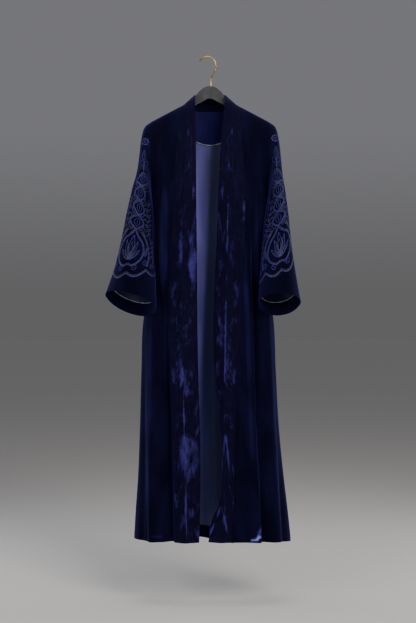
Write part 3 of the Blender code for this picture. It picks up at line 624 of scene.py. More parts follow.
colour = addNode(tree, "Mix", rgba, {0: tone, 6: satinLook["deep"], 7: satinLook["lit"]})
spot = addNode(tree, "TexCoord", {}, {}).outputs["Object"]
spot = addNode(tree, "SeparateXYZ", {}, {"Vector": spot})
# painted shade right of a slanting line, where the right band shades the lining
paintedShadeRight = addNode(tree, "Math", {"operation": "MULTIPLY_ADD"}, {
    0: spot.outputs["Z"], 1: -0.043, 2: spot.outputs["X"]})
paintedShadeRight = addNode(tree, "MapRange", smooth, {
    "Value": paintedShadeRight, "From Min": 0.014, "From Max": 0.032})
colour = addNode(tree, "Mix", rgba, {0: paintedShadeRight, 6: colour, 7: satinLook["paintedShadeRight"]})
# painted shade toward the neck and the hem, around a brightly lit middle
belowNeck = addNode(tree, "MapRange", smooth, {
    "Value": spot.outputs["Z"], "From Min": -0.30, "From Max": -0.60, "To Min": 0.40})
aboveHem = addNode(tree, "MapRange", smooth, {
    "Value": spot.outputs["Z"], "From Min": -1.50, "From Max": -1.20, "To Min": 0.60})
full = addNode(tree, "Math", {"operation": "MULTIPLY"}, {0: belowNeck, 1: aboveHem})
colour = addNode(tree, "Mix", {**rgba, "blend_type": "MULTIPLY"}, {0: 1.0, 6: colour, 7: full})
# painted shade all over inside the sleeves, from the painted light and shade mark
sleeve = addNode(tree, "Attribute", {"attribute_name": "laidPile"}, {}).outputs["Fac"]
sleeve = addNode(tree, "Math", {"operation": "MULTIPLY"}, {0: sleeve, 1: 1.6})
colour = addNode(tree, "Mix", rgba, {0: sleeve, 6: colour, 7: satinLook["paintedSleeveShade"]})
gloss = addNode(tree, "MapRange", smooth, {
    "Value": shade, "From Min": 0.30, "From Max": 0.75, "To Min": 0.46, "To Max": 0.36})
relief = addNode(tree, "Bump", {}, {"Height": weave, "Strength": 0.12, "Distance": 0.0004})
finishMaterial(tree, shader, colour, gloss, relief)


# Thread or narrow satin laid side by side across a line: bright, with fine ridges across it.
# Real stitches are 0.4 mm apart; they are drawn 0.9 mm apart so that they show.
threadLook = {"spacing": 0.0009, "slant": 0.10, "wornSize": 0.010, "reliefDepth": 0.0004}


def threadMaterial(name, deep, lit, gloss):
    material, tree, shader = newMaterial(name, {
        "Specular IOR Level": 0.35, "Sheen Weight": 0.12, "Sheen Roughness": 0.3,
        "Sheen Tint": lit, "IOR": 1.5})
    cloth = addNode(tree, "UVMap", {"uv_map": "clothPlace"}, {})
    slanted = addNode(tree, "Mapping", {}, {
        "Vector": cloth, "Rotation": (0.0, 0.0, threadLook["slant"])})
    stitches = addNode(tree, "TexWave", {"wave_type": "BANDS", "bands_direction": "X"}, {
        "Vector": slanted, "Scale": 1 / (threadLook["spacing"] * math.pi), "Distortion": 0.6,
        "Detail": 1.0})
    worn = addNode(tree, "TexNoise", {}, {
        "Vector": cloth, "Scale": 1 / threadLook["wornSize"], "Detail": 2.0})
    tone = addNode(tree, "MapRange", smooth, {"Value": worn, "From Min": 0.3, "From Max": 0.7})
    colour = addNode(tree, "Mix", rgba, {0: tone, 6: deep, 7: lit})
    # painted shade in the grooves between the stitches
    gap = addNode(tree, "MapRange", {}, {"Value": stitches, "To Min": 0.35, "To Max": 0.0})
    colour = addNode(tree, "Mix", rgba, {0: gap, 6: colour, 7: deep})
    shine = addNode(tree, "MapRange", {}, {
        "Value": worn, "From Min": 0.3, "From Max": 0.7, "To Min": gloss + 0.08, "To Max": gloss})
    relief = addNode(tree, "Bump", {}, {
        "Height": stitches, "Strength": 0.5, "Distance": threadLook["reliefDepth"]})
    finishMaterial(tree, shader, colour, shine, relief)
    return material


blueThread = threadMaterial("satin stitch, periwinkle rayon", "1c1a54", "36338c", 0.50)
greyThread = threadMaterial("satin stitch, grey rayon", "26272f", "434452", 0.50)
darkThread = threadMaterial("satin stitch, midnight rayon", "05060f", "12142c", 0.42)
pipingSatin = threadMaterial("satin covered piping, silver grey", "6c6e7a", "a6a8b4", 0.38)

# The hanger's board is pressed wood fibre under a matt charcoal coat, faintly mottled by the
# fibres. Its hook is steel wire plated gold: bright and warm, with fine lines from drawing.
# Its real lines are finer than a hair; they are drawn 1 mm wide so that they show. Sizes are in
# metres, each pair of limits is of the pattern, and gloss is a roughness.
boardLook = {"deep": "26272b", "lit": "35363c", "stretch": (1.0, 1.0, 1.0), "detail": 3.0,
             "grainSize": 0.0012, "cloudSize": 0.030, "toneLimits": (0.3, 0.75),
             "glossLimits": (0.3, 0.8), "gloss": (0.62, 0.48), "relief": (0.25, 0.0003)}
wireLook = {"deep": "9a7338", "lit": "cfa763", "stretch": (1.0, 1.0, 0.2), "detail": 2.0,
            "grainSize": 0.001, "cloudSize": 0.001, "toneLimits": (0.3, 0.7),
            "glossLimits": (0.3, 0.7), "gloss": (0.34, 0.20), "relief": (0.10, 0.0002)}


def hangerMaterial(name, fixed, look):
    material, tree, shader = newMaterial(name, fixed)
    place = addNode(tree, "TexCoord", {}, {}).outputs["Object"]
    drawn = addNode(tree, "Mapping", {}, {"Vector": place, "Scale": look["stretch"]})
    grain, cloud = (addNode(tree, "TexNoise", {}, {
        "Vector": drawn, "Scale": 1 / look[size], "Detail": look["detail"]})
        for size in ("grainSize", "cloudSize"))
    low, high = look["toneLimits"]
    tone = addNode(tree, "MapRange", smooth, {"Value": cloud, "From Min": low, "From Max": high})
    colour = addNode(tree, "Mix", rgba, {0: tone, 6: look["deep"], 7: look["lit"]})
    low, high = look["glossLimits"]
    gloss = addNode(tree, "MapRange", smooth, {
        "Value": cloud, "From Min": low, "From Max": high, "To Min": look["gloss"][0],
        "To Max": look["gloss"][1]})
    strength, depth = look["relief"]
    relief = addNode(tree, "Bump", {}, {"Height": grain, "Strength": strength, "Distance": depth})
    finishMaterial(tree, shader, colour, gloss, relief)
    return material


board = hangerMaterial("painted fibreboard, charcoal", {"Specular IOR Level": 0.4}, boardLook)
wireGold = hangerMaterial("gold plated steel wire", {"Metallic": 1.0}, wireLook)
print("materials made")


# a mesh from whole arrays: corner points, four-cornered faces, a place on the cloth for each face
# corner, and the painted light and shade at each point
def putMesh(name, points, faces, places, material, marks=None):
    mesh = bpy.data.meshes.new(name)
    mesh.vertices.add(len(points))
    mesh.vertices.foreach_set("co", np.ravel(points).astype(np.float32))
    mesh.loops.add(faces.size)
    mesh.loops.foreach_set("vertex_index", np.ravel(faces).astype(np.int32))
    mesh.polygons.add(len(faces))
    starts = np.arange(0, faces.size, 4, dtype=np.int32)
    mesh.polygons.foreach_set("loop_start", starts)
    mesh.materials.append(material)
    layer = mesh.uv_layers.new(name="clothPlace")
    layer.data.foreach_set("uv", np.ravel(places).astype(np.float32))
    if marks is not None:
        laid = mesh.attributes.new("laidPile", "FLOAT", "POINT")
        laid.data.foreach_set("value", np.ravel(marks).astype(np.float32))
    mesh.update(calc_edges=True)
    mesh.shade_smooth()
    mesh.set_sharp_from_angle(angle=math.radians(70))
    mesh.validate()
    piece = bpy.data.objects.new(name, mesh)
    bpy.context.scene.collection.objects.link(piece)
    return piece


# lengths along the rows and columns of a grid of points, in metres, for the cloth's own places
def clothLengths(points):
    alongRow = np.linalg.norm(np.diff(points, axis=1), axis=-1)
    downColumn = np.linalg.norm(np.diff(points, axis=0), axis=-1)
    u = np.concatenate([np.zeros((len(points), 1)), np.cumsum(alongRow, axis=1)], axis=1)
    v = np.concatenate([np.zeros((1, points.shape[1])), np.cumsum(downColumn, axis=0)], axis=0)
    return u - u.mean(axis=1, keepdims=True), v


# 1 or -1: which way along its normals the outside of a surface lies, by adding up how far they
# point away from its centre: a ring's own, or for the body the line its sections stand on
def outwardSide(middle, square, ring=False):
    centre = middle.mean(axis=1, keepdims=True)
    if not ring:
        centre = np.stack([np.full(middle.shape[:-1], middleX),
                           bodyAt("setBack", middle[..., 2]), middle[..., 2]], axis=-1)
    return np.sign(np.sum(square * (middle - centre)))


# A wall of cloth on a surface: an outer and an inner face, each half the thickness from it along
# its normals, with rims between. soft is how far from the side edges the wall thins into a seam,
# and the last argument gives the painted light and shade at each point.
def clothWall(name, surface, across, down, thickness, material, lift=0.0, ring=False, soft=0.0,
              laid=None):
    middle = surface(across, down)
    square = normals(surface, across, down)
    square = square * outwardSide(middle, square, ring)
    closed = np.concatenate([middle, middle[:, :1]], axis=1) if ring else middle
    u, v = clothLengths(closed)
    half = np.full(across.shape, thickness / 2)
    if soft and not ring:
        edge = np.minimum(u - u[:, :1], u[:, -1:] - u)
        half = half * (1 - garment["seamThin"] * bump(edge, soft))
    outer = middle + square * (lift + half)[..., None]
    inner = middle + square * (lift - half)[..., None]
    rows, columns = across.shape
    count = rows * columns
    r, c = np.meshgrid(np.arange(rows - 1), np.arange(columns if ring else columns - 1),
                       indexing="ij")
    r, c = r.ravel(), c.ravel()
    d = (c + 1) % columns
    corners = np.stack([r * columns + c, r * columns + d,
                        (r + 1) * columns + d, (r + 1) * columns + c], axis=1)
    rowOf = np.stack([r, r, r + 1, r + 1], axis=1)
    columnOf = np.stack([c, c + 1, c + 1, c], axis=1)
    first = np.cross(middle[0, 1] - middle[0, 0], middle[1, 0] - middle[0, 0])
    if np.dot(first, square[0, 0]) < 0:
        corners, rowOf, columnOf = corners[:, ::-1], rowOf[:, ::-1], columnOf[:, ::-1]
    faces = [corners, corners[:, ::-1] + count]
    places = [np.stack([u[rowOf, columnOf], v[rowOf, columnOf]], axis=-1)]
    places.append(places[0][:, ::-1])

    # rims: each edge of the outer face that has no neighbour, joined to the inner face
    edges = np.concatenate([corners[:, [k, (k + 1) % 4]] for k in range(4)])
    edgePlaces = np.concatenate([places[0][:, [k, (k + 1) % 4]] for k in range(4)])
    keys = np.sort(edges, axis=1)
    code = keys[:, 0].astype(np.int64) * count + keys[:, 1]
    _, where, times = np.unique(code, return_index=True, return_counts=True)
    alone = where[times == 1]
    a, b = edges[alone, 0], edges[alone, 1]
    faces.append(np.stack([b, a, a + count, b + count], axis=1))
    rimPlaces = edgePlaces[alone]
    places.append(np.stack([rimPlaces[:, 1], rimPlaces[:, 0],
                            rimPlaces[:, 0], rimPlaces[:, 1]], axis=1))
    return putMesh(name, np.concatenate([outer.reshape(-1, 3), inner.reshape(-1, 3)]),
                   np.concatenate(faces), np.concatenate(places), material,
                   None if laid is None else np.stack([laid(middle)] * 2))


# A bundle of round or flattened cords. Each path has its points, the directions square to the
# cloth under them, half widths and half heights; the section is an ellipse carried along it.
def cordBundle(name, paths, material, sides=6):
    turn = np.linspace(0, 2 * math.pi, sides, endpoint=False)
    points, faces, places = [], [], []
    start = 0
    for line, up, halfWidth, halfHeight, closed in paths:
        count = len(line)
        ahead = np.roll(line, -1, axis=0) - np.roll(line, 1, axis=0)
        if not closed:
            ahead[0], ahead[-1] = line[1] - line[0], line[-1] - line[-2]
        ahead = ahead / np.linalg.norm(ahead, axis=1, keepdims=True)
        sideways = np.cross(ahead, up)
        sideways = sideways / np.linalg.norm(sideways, axis=1, keepdims=True)
        lifted = np.cross(sideways, ahead)
        ring = (line[:, None] + sideways[:, None] * (halfWidth[:, None] * np.cos(turn))[..., None]
                + lifted[:, None] * (halfHeight[:, None] * np.sin(turn))[..., None])
        points.append(ring.reshape(-1, 3))
        last = count if closed else count - 1
        r, c = np.meshgrid(np.arange(last), np.arange(sides), indexing="ij")
        r, c = r.ravel(), c.ravel()
        n, d = (r + 1) % count, (c + 1) % sides
        quads = np.stack([r * sides + c, n * sides + c, n * sides + d, r * sides + d], axis=1)
        length = np.concatenate([[0], np.cumsum(np.linalg.norm(np.diff(
            np.concatenate([line, line[:1]]), axis=0), axis=1))])
        around = np.stack([c, c, c + 1, c + 1], axis=1) / sides * 2 * halfWidth.mean()
        along = length[np.stack([r, r + 1, r + 1, r], axis=1)]
        blocks, blockPlaces = [quads], [np.stack([along, around], axis=-1)]
        if not closed:
            for end, flip in ((0, False), (count - 1, True)):
                fan = np.array([[0, k, k + 1, k + 2] for k in range(1, sides - 2, 2)])
                fan = fan[:, ::-1] if flip else fan
                blocks.append(fan + end * sides)
                blockPlaces.append(np.full((len(fan), 4, 2), length[end]))
        faces.append(np.concatenate(blocks) + start)
        places.append(np.concatenate(blockPlaces))
        start += count * sides
    return putMesh(name, np.concatenate(points), np.concatenate(faces),
                   np.concatenate(places), material)


# The cut of each piece: flat width and length before it was sewn and hung, its flat area, what
# it rests on, how many columns and rows of points its wall has, and its finish
cutColumns = ("flat", "area", "on", "grid", "slot")
cutRows = {
    "band_left": ((0.090, 1.42), 0.120, ["hanger"], (33, 300), "velvet_band"),
    "band_right": ((0.090, 1.42), 0.112, ["hanger"], (33, 300), "velvet_band"),
    "front_left": ((0.200, 1.34), 0.188, ["hanger"], (85, 230), "velvet"),
    "front_right": ((0.240, 1.34), 0.224, ["hanger"], (91, 230), "velvet"),
    "back": ((0.640, 1.37), 0.725, ["hanger"], (161, 200), "velvet"),
    "band_neck": ((0.200, 0.060), 0.008, ["back"], (49, 16), "velvet_band"),
    "sleeve_left": ((0.500, 0.62), 0.169, ["back"], (160, 190), "velvet"),
    "sleeve_right": ((0.500, 0.62), 0.155, ["back"], (160, 190), "velvet"),
    "facing_neck": ((0.230, 0.110), 0.017, ["back"], (61, 30), "velvet"),
    "lining_back": ((0.480, 1.20), 0.505, ["back"], (121, 170), "satin"),
    "hem_facing_back": ((0.560, 0.040), 0.022, ["back"], (121, 8), "velvet"),
    "cuff_facing_left": ((0.500, 0.034), 0.016, ["sleeve_left"], (160, 10), "velvet"),
    "cuff_facing_right": ((0.500, 0.034), 0.014, ["sleeve_right"], (160, 10), "velvet"),
    "sleeve_lining_left": ((0.500, 0.070), 0.028, ["sleeve_left"], (160, 14), "satin"),
    "sleeve_lining_right": ((0.500, 0.070), 0.025, ["sleeve_right"], (160, 14), "satin"),
}
cuts = {node: dict(zip(cutColumns, row)) for node, row in cutRows.items()}


# puts a new piece under the root and hides the solid it stands for
def wear(piece, node, slotName):
    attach(piece, "root")
    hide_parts(node)
    if node in cuts:
        cut = cuts[node]
        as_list(cut["on"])


halfGap = garment["seamGap"] / 2
satinLift = -(garment["velvet"] / 2 + garment["layerGap"] + garment["satin"] / 2)
finalRow = len(sleeveRows["left"]) - 1


# One cut piece, a thin wall on its solid's own form. What lies inside the velvet is as thin as
# satin and a layer's gap away from it.
def hangCloth(node, surface, across, down, material, inside=False, **form):
    thickness, lift = (garment["satin"], satinLift) if inside else (garment["velvet"], 0.0)
    wear(clothWall("cloth_" + node, surface, across, down, thickness, material, lift, **form),
         node, cuts[node]["slot"])


# count places round a sleeve, evenly spaced
def roundSleeve(count):
    return np.linspace(0, 2 * math.pi, count, endpoint=False)


# Painted light and shade: an even amount all over an inside piece, which is painted light on the
# neck facing and painted shade in the sleeve linings, and painted sheen along the back's fold
# ridges by their depth, up to a limit. closeRows is how much closer the body's rows lie at the
# shoulder.
paintedLightShadeLevels = {"inside": 0.62, "foldDepth": 0.030, "limit": 0.5}
closeRows = 0.45


# the same painted light and shade all over a piece
def evenPaintedLightShade(points):
    return np.full(points.shape[:-1], paintedLightShadeLevels["inside"])


# lengths down the cloth of the body's rows: close over the shoulder's turn, then even, by a
# straight line and a square added
def bodyDown(count):
    even = np.linspace(0, 1, count)
    return halfGap + (wholeDown - halfGap) * ((1 - closeRows) * even + closeRows * even ** 2)


# Painted highlights where light catches the folds, the bands and the hem, a patch each: its place
# out from the middle and its height, half its width and height, how far it slants outwards as it
# rises, and how strong it is
laidPatches = {
    "left": (
        (0.0915, -0.650, 0.007, 0.230, 0.000, 0.55),
        (0.0560, -0.650, 0.016, 0.095, 0.010, 0.95),
        (0.0720, -1.032, 0.026, 0.060, 0.060, 0.85),
        (0.0690, -1.266, 0.034, 0.088, 0.030, 0.95),
        (0.0620, -1.470, 0.016, 0.050, 0.030, 0.40),
        (0.0800, -1.190, 0.0022, 0.170, 0.019, 1.40),
        (0.0760, -1.410, 0.0022, 0.170, 0.019, 1.40),
        (0.1457, -0.580, 0.017, 0.260, -0.010, 0.42),
        (0.1950, -1.120, 0.014, 0.380, -0.020, 0.40),
        (0.1700, -1.520, 0.030, 0.006, 0.000, 0.55),
    ),
    "right": (
        (0.0520, -0.725, 0.0030, 0.420, 0.021, 0.95),
        (0.0292, -0.980, 0.013, 0.190, 0.000, 0.60),
        (0.0430, -1.255, 0.0035, 0.080, 0.087, 1.25),
        (0.0550, -1.255, 0.0035, 0.080, -0.087, 1.10),
        (0.0165, -1.472, 0.0030, 0.056, 0.385, 1.10),
        (0.0462, -1.468, 0.0030, 0.050, -0.210, 1.00),
        (0.1190, -0.870, 0.010, 0.660, -0.032, 0.36),
        (0.1486, -0.600, 0.008, 0.260, -0.010, 0.34),
        (0.1430, -1.526, 0.017, 0.0120, 1.500, 1.78),
        (0.1550, -1.504, 0.008, 0.0180, 0.300, 1.20),
        (0.2100, -1.200, 0.014, 0.300, -0.040, 0.40),
    ),
}


# the painted highlight on a front at its points: the strongest patch there, each a slanted
# ellipse that fades toward its edge
def laidOn(side):
    mirror = -1 if side == "left" else 1

    def laid(points):
        x, z = (points[..., 0] - middleX) * mirror, points[..., 2]
        total = np.zeros_like(x)
        for outAt, height, halfWide, halfHigh, slant, strength in laidPatches[side]:
            a = (x - outAt - slant * (z - height)) / halfWide
            b = (z - height) / halfHigh
            total = np.maximum(total, strength * np.clip(1.5 * (1 - a * a - b * b), 0, 1))
        return total

    return laid


# on the back, painted sheen along the ridges of its folds, by their depth
def laidOnBack(points):
    x, z = points[..., 0] - middleX, points[..., 2]
    depth = foldDepth("back", x, z, np.full_like(z, math.pi / 2))
    return np.clip(depth / paintedLightShadeLevels["foldDepth"], 0, paintedLightShadeLevels["limit"])


# Fronts and bands, cut back at their seams by half of the seam gap. They widen down to the hem,
# and so does the gap, which is why it starts at a quarter of that at the front seam. soft is the
# width of cloth that thins toward the seam.
seamTrim = 0.25 * halfGap
for side in ("left", "right"):
    surface = frontSurface(side)
    for name, material, first, last, soft in (
            ("band_", pressedVelvet, 0, 1 - seamTrim / garment["bandHalf"], 0.005),
            ("front_", velvet, 1 + seamTrim / garment["panelHalf"],
             2 - halfGap / garment["panelNarrow"], 0.004)):
        columns, rows = cuts[name + side]["grid"]
        hangCloth(name + side, surface, *grid(np.linspace(first, last, columns), bodyDown(rows)),
                  material, soft=soft, laid=laidOn(side))
print("fronts and bands made")

# back, with a column at each end of the neck
neckX = garment["bandAtShoulder"] * math.cos(halfGap / garment["neckDepth"])
neckShare = math.asin(neckX * math.sin(topTurn) / garment["shoulderTip"][0]) / topTurn
neckSpread = math.radians(78)


# columns across the neck, closer together toward its ends as a sine flattens
def neckColumns(first, count):
    return neckShare * np.sin(np.linspace(first, neckSpread, count)) / math.sin(neckSpread)


# columns across the whole back: two in five in the neck, the rest even out to the side seam
def backColumns(count):
    inNeck = count * 2 // 5
    outside = np.linspace(neckShare, 1, count - inNeck + 1)[1:]
    half = np.concatenate([neckColumns(0, inNeck + 1), outside])
    return np.concatenate([-half[:0:-1], half])


columns, rows = cuts["back"]["grid"]
across = backColumns(columns // 2) * (1 - halfGap / garment["panelHalf"])
hangCloth("back", backSurface, *grid(across, bodyDown(rows)), velvet, laid=laidOnBack)
columns, rows = cuts["band_neck"]["grid"]
up = np.linspace(garment["neckBand"], halfGap, rows)
hangCloth("band_neck", neckSurface, *grid(neckColumns(-neckSpread, columns), up), velvet)
print("back and neck band made")

# sleeves, as rings of cloth from the armhole to the cuff
sleeveCloth = {}
for side in ("left", "right"):
    columns, rows = cuts["sleeve_" + side]["grid"]
    sleeveCloth[side] = clothWall(
        "cloth_sleeve_" + side, sleeveSurface(side),
        *grid(roundSleeve(columns), np.linspace(0, finalRow, rows)), garment["velvet"], velvet,
        ring=True)
print("sleeves made")

# satin back lining, with the velvet facings at the neck and hem; lengths down the back, and
# shares of the way across it
liningLook = {
    "neckShare": 0.46, "facingTop": 0.0075, "facingSide": 0.096, "facingSag": 0.014,
    "halfTurn": 58 / 90, "sideTrim": 0.004, "hemFacing": 0.040, "cuffFacing": 0.034,
    "cuffLining": 0.070, "sleeveRow": 0.085, "pipingRadius": 0.0012, "pipingSides": 10,
    "pipingSteps": 90,
}


# length down the back at which the neck facing ends
def facingDown(across):
    sag = np.cos(np.clip(across / liningLook["neckShare"], -1, 1) * math.pi / 2)
    return liningLook["facingSide"] + liningLook["facingSag"] * sag ** 2


# What hangs inside the back, between two edges down it. Each edge is a share of the facing's
# curve and a length added to it.
hemTop = wholeDown - liningLook["hemFacing"]
# the neck facing gets painted light all over, as it stands in shade behind the neck
for node, material, width, edges, laid in (
        ("facing_neck", velvet, "neckShare", ((0, liningLook["facingTop"]), (1, -halfGap)),
         evenPaintedLightShade),
        ("lining_back", satin, "halfTurn", ((1, halfGap), (0, hemTop - halfGap)), None),
        ("hem_facing_back", velvet, "halfTurn",
         ((0, hemTop + halfGap), (0, wholeDown - garment["hemTurn"])), None)):
    columns, rows = cuts[node]["grid"]
    limit = liningLook[width] - liningLook["sideTrim"]
    across, share = grid(np.linspace(-limit, limit, columns), np.linspace(0, 1, rows))
    first, last = (curve * facingDown(across) + length for curve, length in edges)
    hangCloth(node, backSurface, across, first + (last - first) * share, material, inside=True,
              laid=laid)
print("linings made")


# a line laid over a surface: its points, lifted outwards, and the directions square to it
def lineOn(surface, side, across, down, lift):
    square = normals(surface, across, down) * side
    return surface(across, down) + square * lift, square


pipingRadius = liningLook["pipingRadius"]
pipingLift = -(garment["velvet"] / 2 + 2 * garment["layerGap"] + garment["satin"] + pipingRadius)


# the side of a whole surface that faces out, from a coarse grid on it
def facingSide(surface, across, down, ring=False):
    spots = grid(across, down)
    return outwardSide(surface(*spots), normals(surface, *spots), ring)


# round satin piping along the edge where a velvet facing meets the satin
def sewPiping(name, node, surface, side, across, down, closed):
    line, square = lineOn(surface, side, across, down, pipingLift)
    thick = np.full(len(line), pipingRadius)
    wear(cordBundle(name, [(line, square, thick, thick, closed)], pipingSatin,
                    liningLook["pipingSides"]), node, "piping")


limit = liningLook["neckShare"] - liningLook["sideTrim"]
across = np.linspace(-limit, limit, liningLook["pipingSteps"])
backSide = facingSide(backSurface, np.linspace(-0.5, 0.5, 9), np.linspace(0.1, 1.2, 9))
sewPiping("piping_neck_satin", "piping_neck", backSurface, backSide, across, facingDown(across),
          False)

# the cuffs' facings and linings, in rows of the sleeve's table
facingTop = finalRow - liningLook["cuffFacing"] / liningLook["sleeveRow"]
liningTop = facingTop - liningLook["cuffLining"] / liningLook["sleeveRow"]
trim = halfGap / liningLook["sleeveRow"]
hemTrim = garment["hemTurn"] / liningLook["sleeveRow"]
sleeveSides = {}
for side in ("left", "right"):
    surface = sleeveSurface(side)
    # the sleeve linings get painted shade all over
    for name, material, first, last, laid in (
            ("cuff_facing_", velvet, facingTop + trim, finalRow - hemTrim, None),
            ("sleeve_lining_", satin, liningTop, facingTop - trim, evenPaintedLightShade)):
        columns, rows = cuts[name + side]["grid"]
        hangCloth(name + side, surface,
                  *grid(roundSleeve(columns), np.linspace(first, last, rows)), material,
                  inside=True, ring=True, laid=laid)
    sleeveSides[side] = facingSide(surface, roundSleeve(columns), np.linspace(1, 9, 9), True)
    sewPiping("piping_cuff_" + side, "cuff_piping_" + side, surface, sleeveSides[side],
              roundSleeve(columns), np.full(columns, facingTop), True)
print("piping and cuffs made")

# Embroidery on the front of each sleeve, its two sides mirrored about one line. Sizes are in
# metres; "v" is the length of cloth below the shoulder tip along that line and "u" the length of
# cloth beside it. The angles say where the line runs round each row of the sleeve.
stitching = {
    "rows": (0.0, 1.0, 2.0, 3.5, 5.0, 6.0, 7.2, 8.2, 9.1, 10.0),
    "angles": {"left": (-50, -57, -75, -92, -112, -124, -121, -107, -97, -92),
               "right": (-42, -50, -72, -85, -109, -121, -126, -122, -113, -106)},
    "tilt": {"left": 0.40, "right": 0.66},
    "step": 0.0022,
    "lift": 0.0011,
    "overTape": 0.0002,
    "tape": 0.0017,
    "cord": 0.00075,
    "fine": 0.00055,
    "rosette": (0.035, 0.0115),
    "square": (0.16, 0.27),
    "bud": (0.078, 0.012),
    "braid": (0.140, 0.322, 0.0150, 0.026),
    "palmette": (0.332, 0.438),
    "border": 0.464,
    "scallops": 7,
    "scallopDrop": 0.017,
    "raiseTo": 0.120,
    "raiseFade": (0.125, 0.200),
    "raiseFrom": (0.20, 0.44),
}

# How finely a sleeve's cloth is measured: rows and turns of the grid, the rows left out at its
# ends, the reach beside the line and its step, and the small step for slopes. Then how the
# rosette is laid flat: how often its points are stepped, the share of the way each time, and the
# highest row that they may reach.
measure = {"rows": 260, "turns": 361, "ends": 0.3, "reach": 0.25, "step": 0.001, "slope": 0.01,
           "tries": 20, "share": 0.6, "highest": 0.02}


# Where a length beside the line and a length down it lie on a sleeve: a table of the angle for
# each whole step of length, read between its four nearest entries
def clothMap(side):
    surface = sleeveSurface(side)
    slope, reach, step = measure["slope"], measure["reach"], measure["step"]
    down = np.linspace(measure["ends"], finalRow - measure["ends"], measure["rows"])
    axis = np.radians(smoothRead(np.array(stitching["rows"]),
                                 np.array(stitching["angles"][side], dtype=float), down))
    turns = np.linspace(-math.pi, math.pi, measure["turns"])
    onLine = len(turns) // 2
    points = surface(axis[:, None] + turns, np.repeat(down[:, None], len(turns), axis=1))
    lengths = np.linalg.norm(np.diff(points, axis=1), axis=-1)
    beside = np.concatenate([np.zeros((len(down), 1)), np.cumsum(lengths, axis=1)], axis=1)
    beside = beside - beside[:, onLine, None]
    middle = points[:, onLine]
    below = np.concatenate([[0], np.cumsum(np.linalg.norm(np.diff(middle, axis=0), axis=1))])
    below = below + np.linalg.norm(middle[0] - surface(axis[:1], np.zeros(1))[0])
    even = np.linspace(-reach, reach, round(2 * reach / step) + 1)
    table = np.stack([np.interp(even, row, turns) for row in beside])

    # High up the rings of the sleeve run almost along the line, so there "u" is laid off square
    # to the line instead: the share of a turn and of a row that makes one metre that way.
    byTurn = (surface(axis + slope, down) - middle) / slope
    byRow = (surface(axis, down + slope) - middle) / slope
    outward = np.cross(byTurn, byRow)
    square = np.cross(outward, np.gradient(middle, axis=0))
    square = square / np.linalg.norm(square, axis=1, keepdims=True)
    square = square * np.sign(np.sum(square * byTurn, axis=1, keepdims=True))
    a, b, c = (np.sum(one * other, axis=1) for one, other in
               ((byTurn, byTurn), (byTurn, byRow), (byRow, byRow)))
    p, q = np.sum(byTurn * square, axis=1), np.sum(byRow * square, axis=1)
    turnShare = (c * p - b * q) / (a * c - b * b)
    rowShare = (a * q - b * p) / (a * c - b * b)

    # The rosette is laid flat on the shoulder, which faces the front: each point is stepped
    # along the cloth until its place across and its height are the wanted ones.
    def flat(u, v):
        middleV = stitching["rosette"][0]
        turn = np.full(len(u), np.interp(middleV, below, axis))
        row = np.full(len(u), np.interp(middleV, below, down))
        start = surface(turn, row)
        sideways = np.sign(np.interp(middleV, below, square[:, 0]))
        goal = np.stack([start[:, 0] + sideways * u, start[:, 2] - (v - middleV)], axis=1)
        for _ in range(measure["tries"]):
            here = surface(turn, row)[:, ::2]
            turnStep = (surface(turn + slope, row)[:, ::2] - here) / slope
            rowStep = (surface(turn, row + slope)[:, ::2] - here) / slope
            miss = measure["share"] * (goal - here)
            span = turnStep[:, 0] * rowStep[:, 1] - turnStep[:, 1] * rowStep[:, 0]
            turn = turn + (miss[:, 0] * rowStep[:, 1] - miss[:, 1] * rowStep[:, 0]) / span
            row = row + (miss[:, 1] * turnStep[:, 0] - miss[:, 0] * turnStep[:, 1]) / span
            row = np.maximum(row, measure["highest"])
        return turn, row

    # the turn and the row of the sleeve at lengths beside the line and down it
    def place(u, v):
        middleV, radius = stitching["rosette"]
        if v.max() < middleV + 1.5 * radius:
            return flat(u, v)
        number = np.arange(len(down), dtype=float)
        row = np.interp(v, below, number)
        r = np.clip(row.astype(int), 0, len(down) - 2)
        t = row - r
        spot = np.clip((u + reach) / step, 0, len(even) - 1.001)
        c = spot.astype(int)
        s = spot - c
        upper = table[r, c] * (1 - s) + table[r, c + 1] * s
        lower = table[r + 1, c] * (1 - s) + table[r + 1, c + 1] * s
        squared = 1 - ease(*stitching["square"], v)
        turned = (upper * (1 - t) + lower * t) * (1 - squared)
        turned = turned + np.interp(row, number, turnShare) * u * squared
        lowered = np.interp(row, number, rowShare) * u * squared
        return np.interp(row, number, axis) + turned, np.interp(row, number, down) + lowered

    # how far the cloth reaches each way round the sleeve from the line, at a length down it
    def around(v):
        row = int(np.argmin(np.abs(below - v)))
        return float(beside[row, 0]), float(beside[row, -1])

    return surface, place, around


# evenly spaced points along a path of corner points
def evenly(path, step):
    length = np.concatenate([[0], np.cumsum(np.linalg.norm(np.diff(path, axis=0), axis=1))])
    count = max(4, int(length[-1] / step))
    at = np.linspace(0, length[-1], count + 1)
    return np.stack([np.interp(at, length, path[:, k]) for k in (0, 1)], axis=1)


# a smooth path through a few points
def bend(points):
    points = np.array(points, dtype=float)
    chord = np.concatenate([[0], np.cumsum(np.linalg.norm(np.diff(points, axis=0), axis=1))])
    at = np.linspace(0, chord[-1], 90)
    return np.stack([smoothRead(chord, points[:, k], at) for k in (0, 1)], axis=1)


# a closed leaf: widest near its foot, pointed at its tip
def leaf(foot, tip, halfWidth, fullness=0.75):
    foot, tip = np.array(foot, dtype=float), np.array(tip, dtype=float)
    along = np.linspace(0, 1, 40)
    width = halfWidth * np.sin(math.pi * along ** fullness)
    ahead = tip - foot
    aside = np.array([-ahead[1], ahead[0]]) / np.linalg.norm(ahead)
    one = foot + along[:, None] * ahead + width[:, None] * aside
    other = foot + along[:, None] * ahead - width[:, None] * aside
    return np.concatenate([one, other[::-1]])


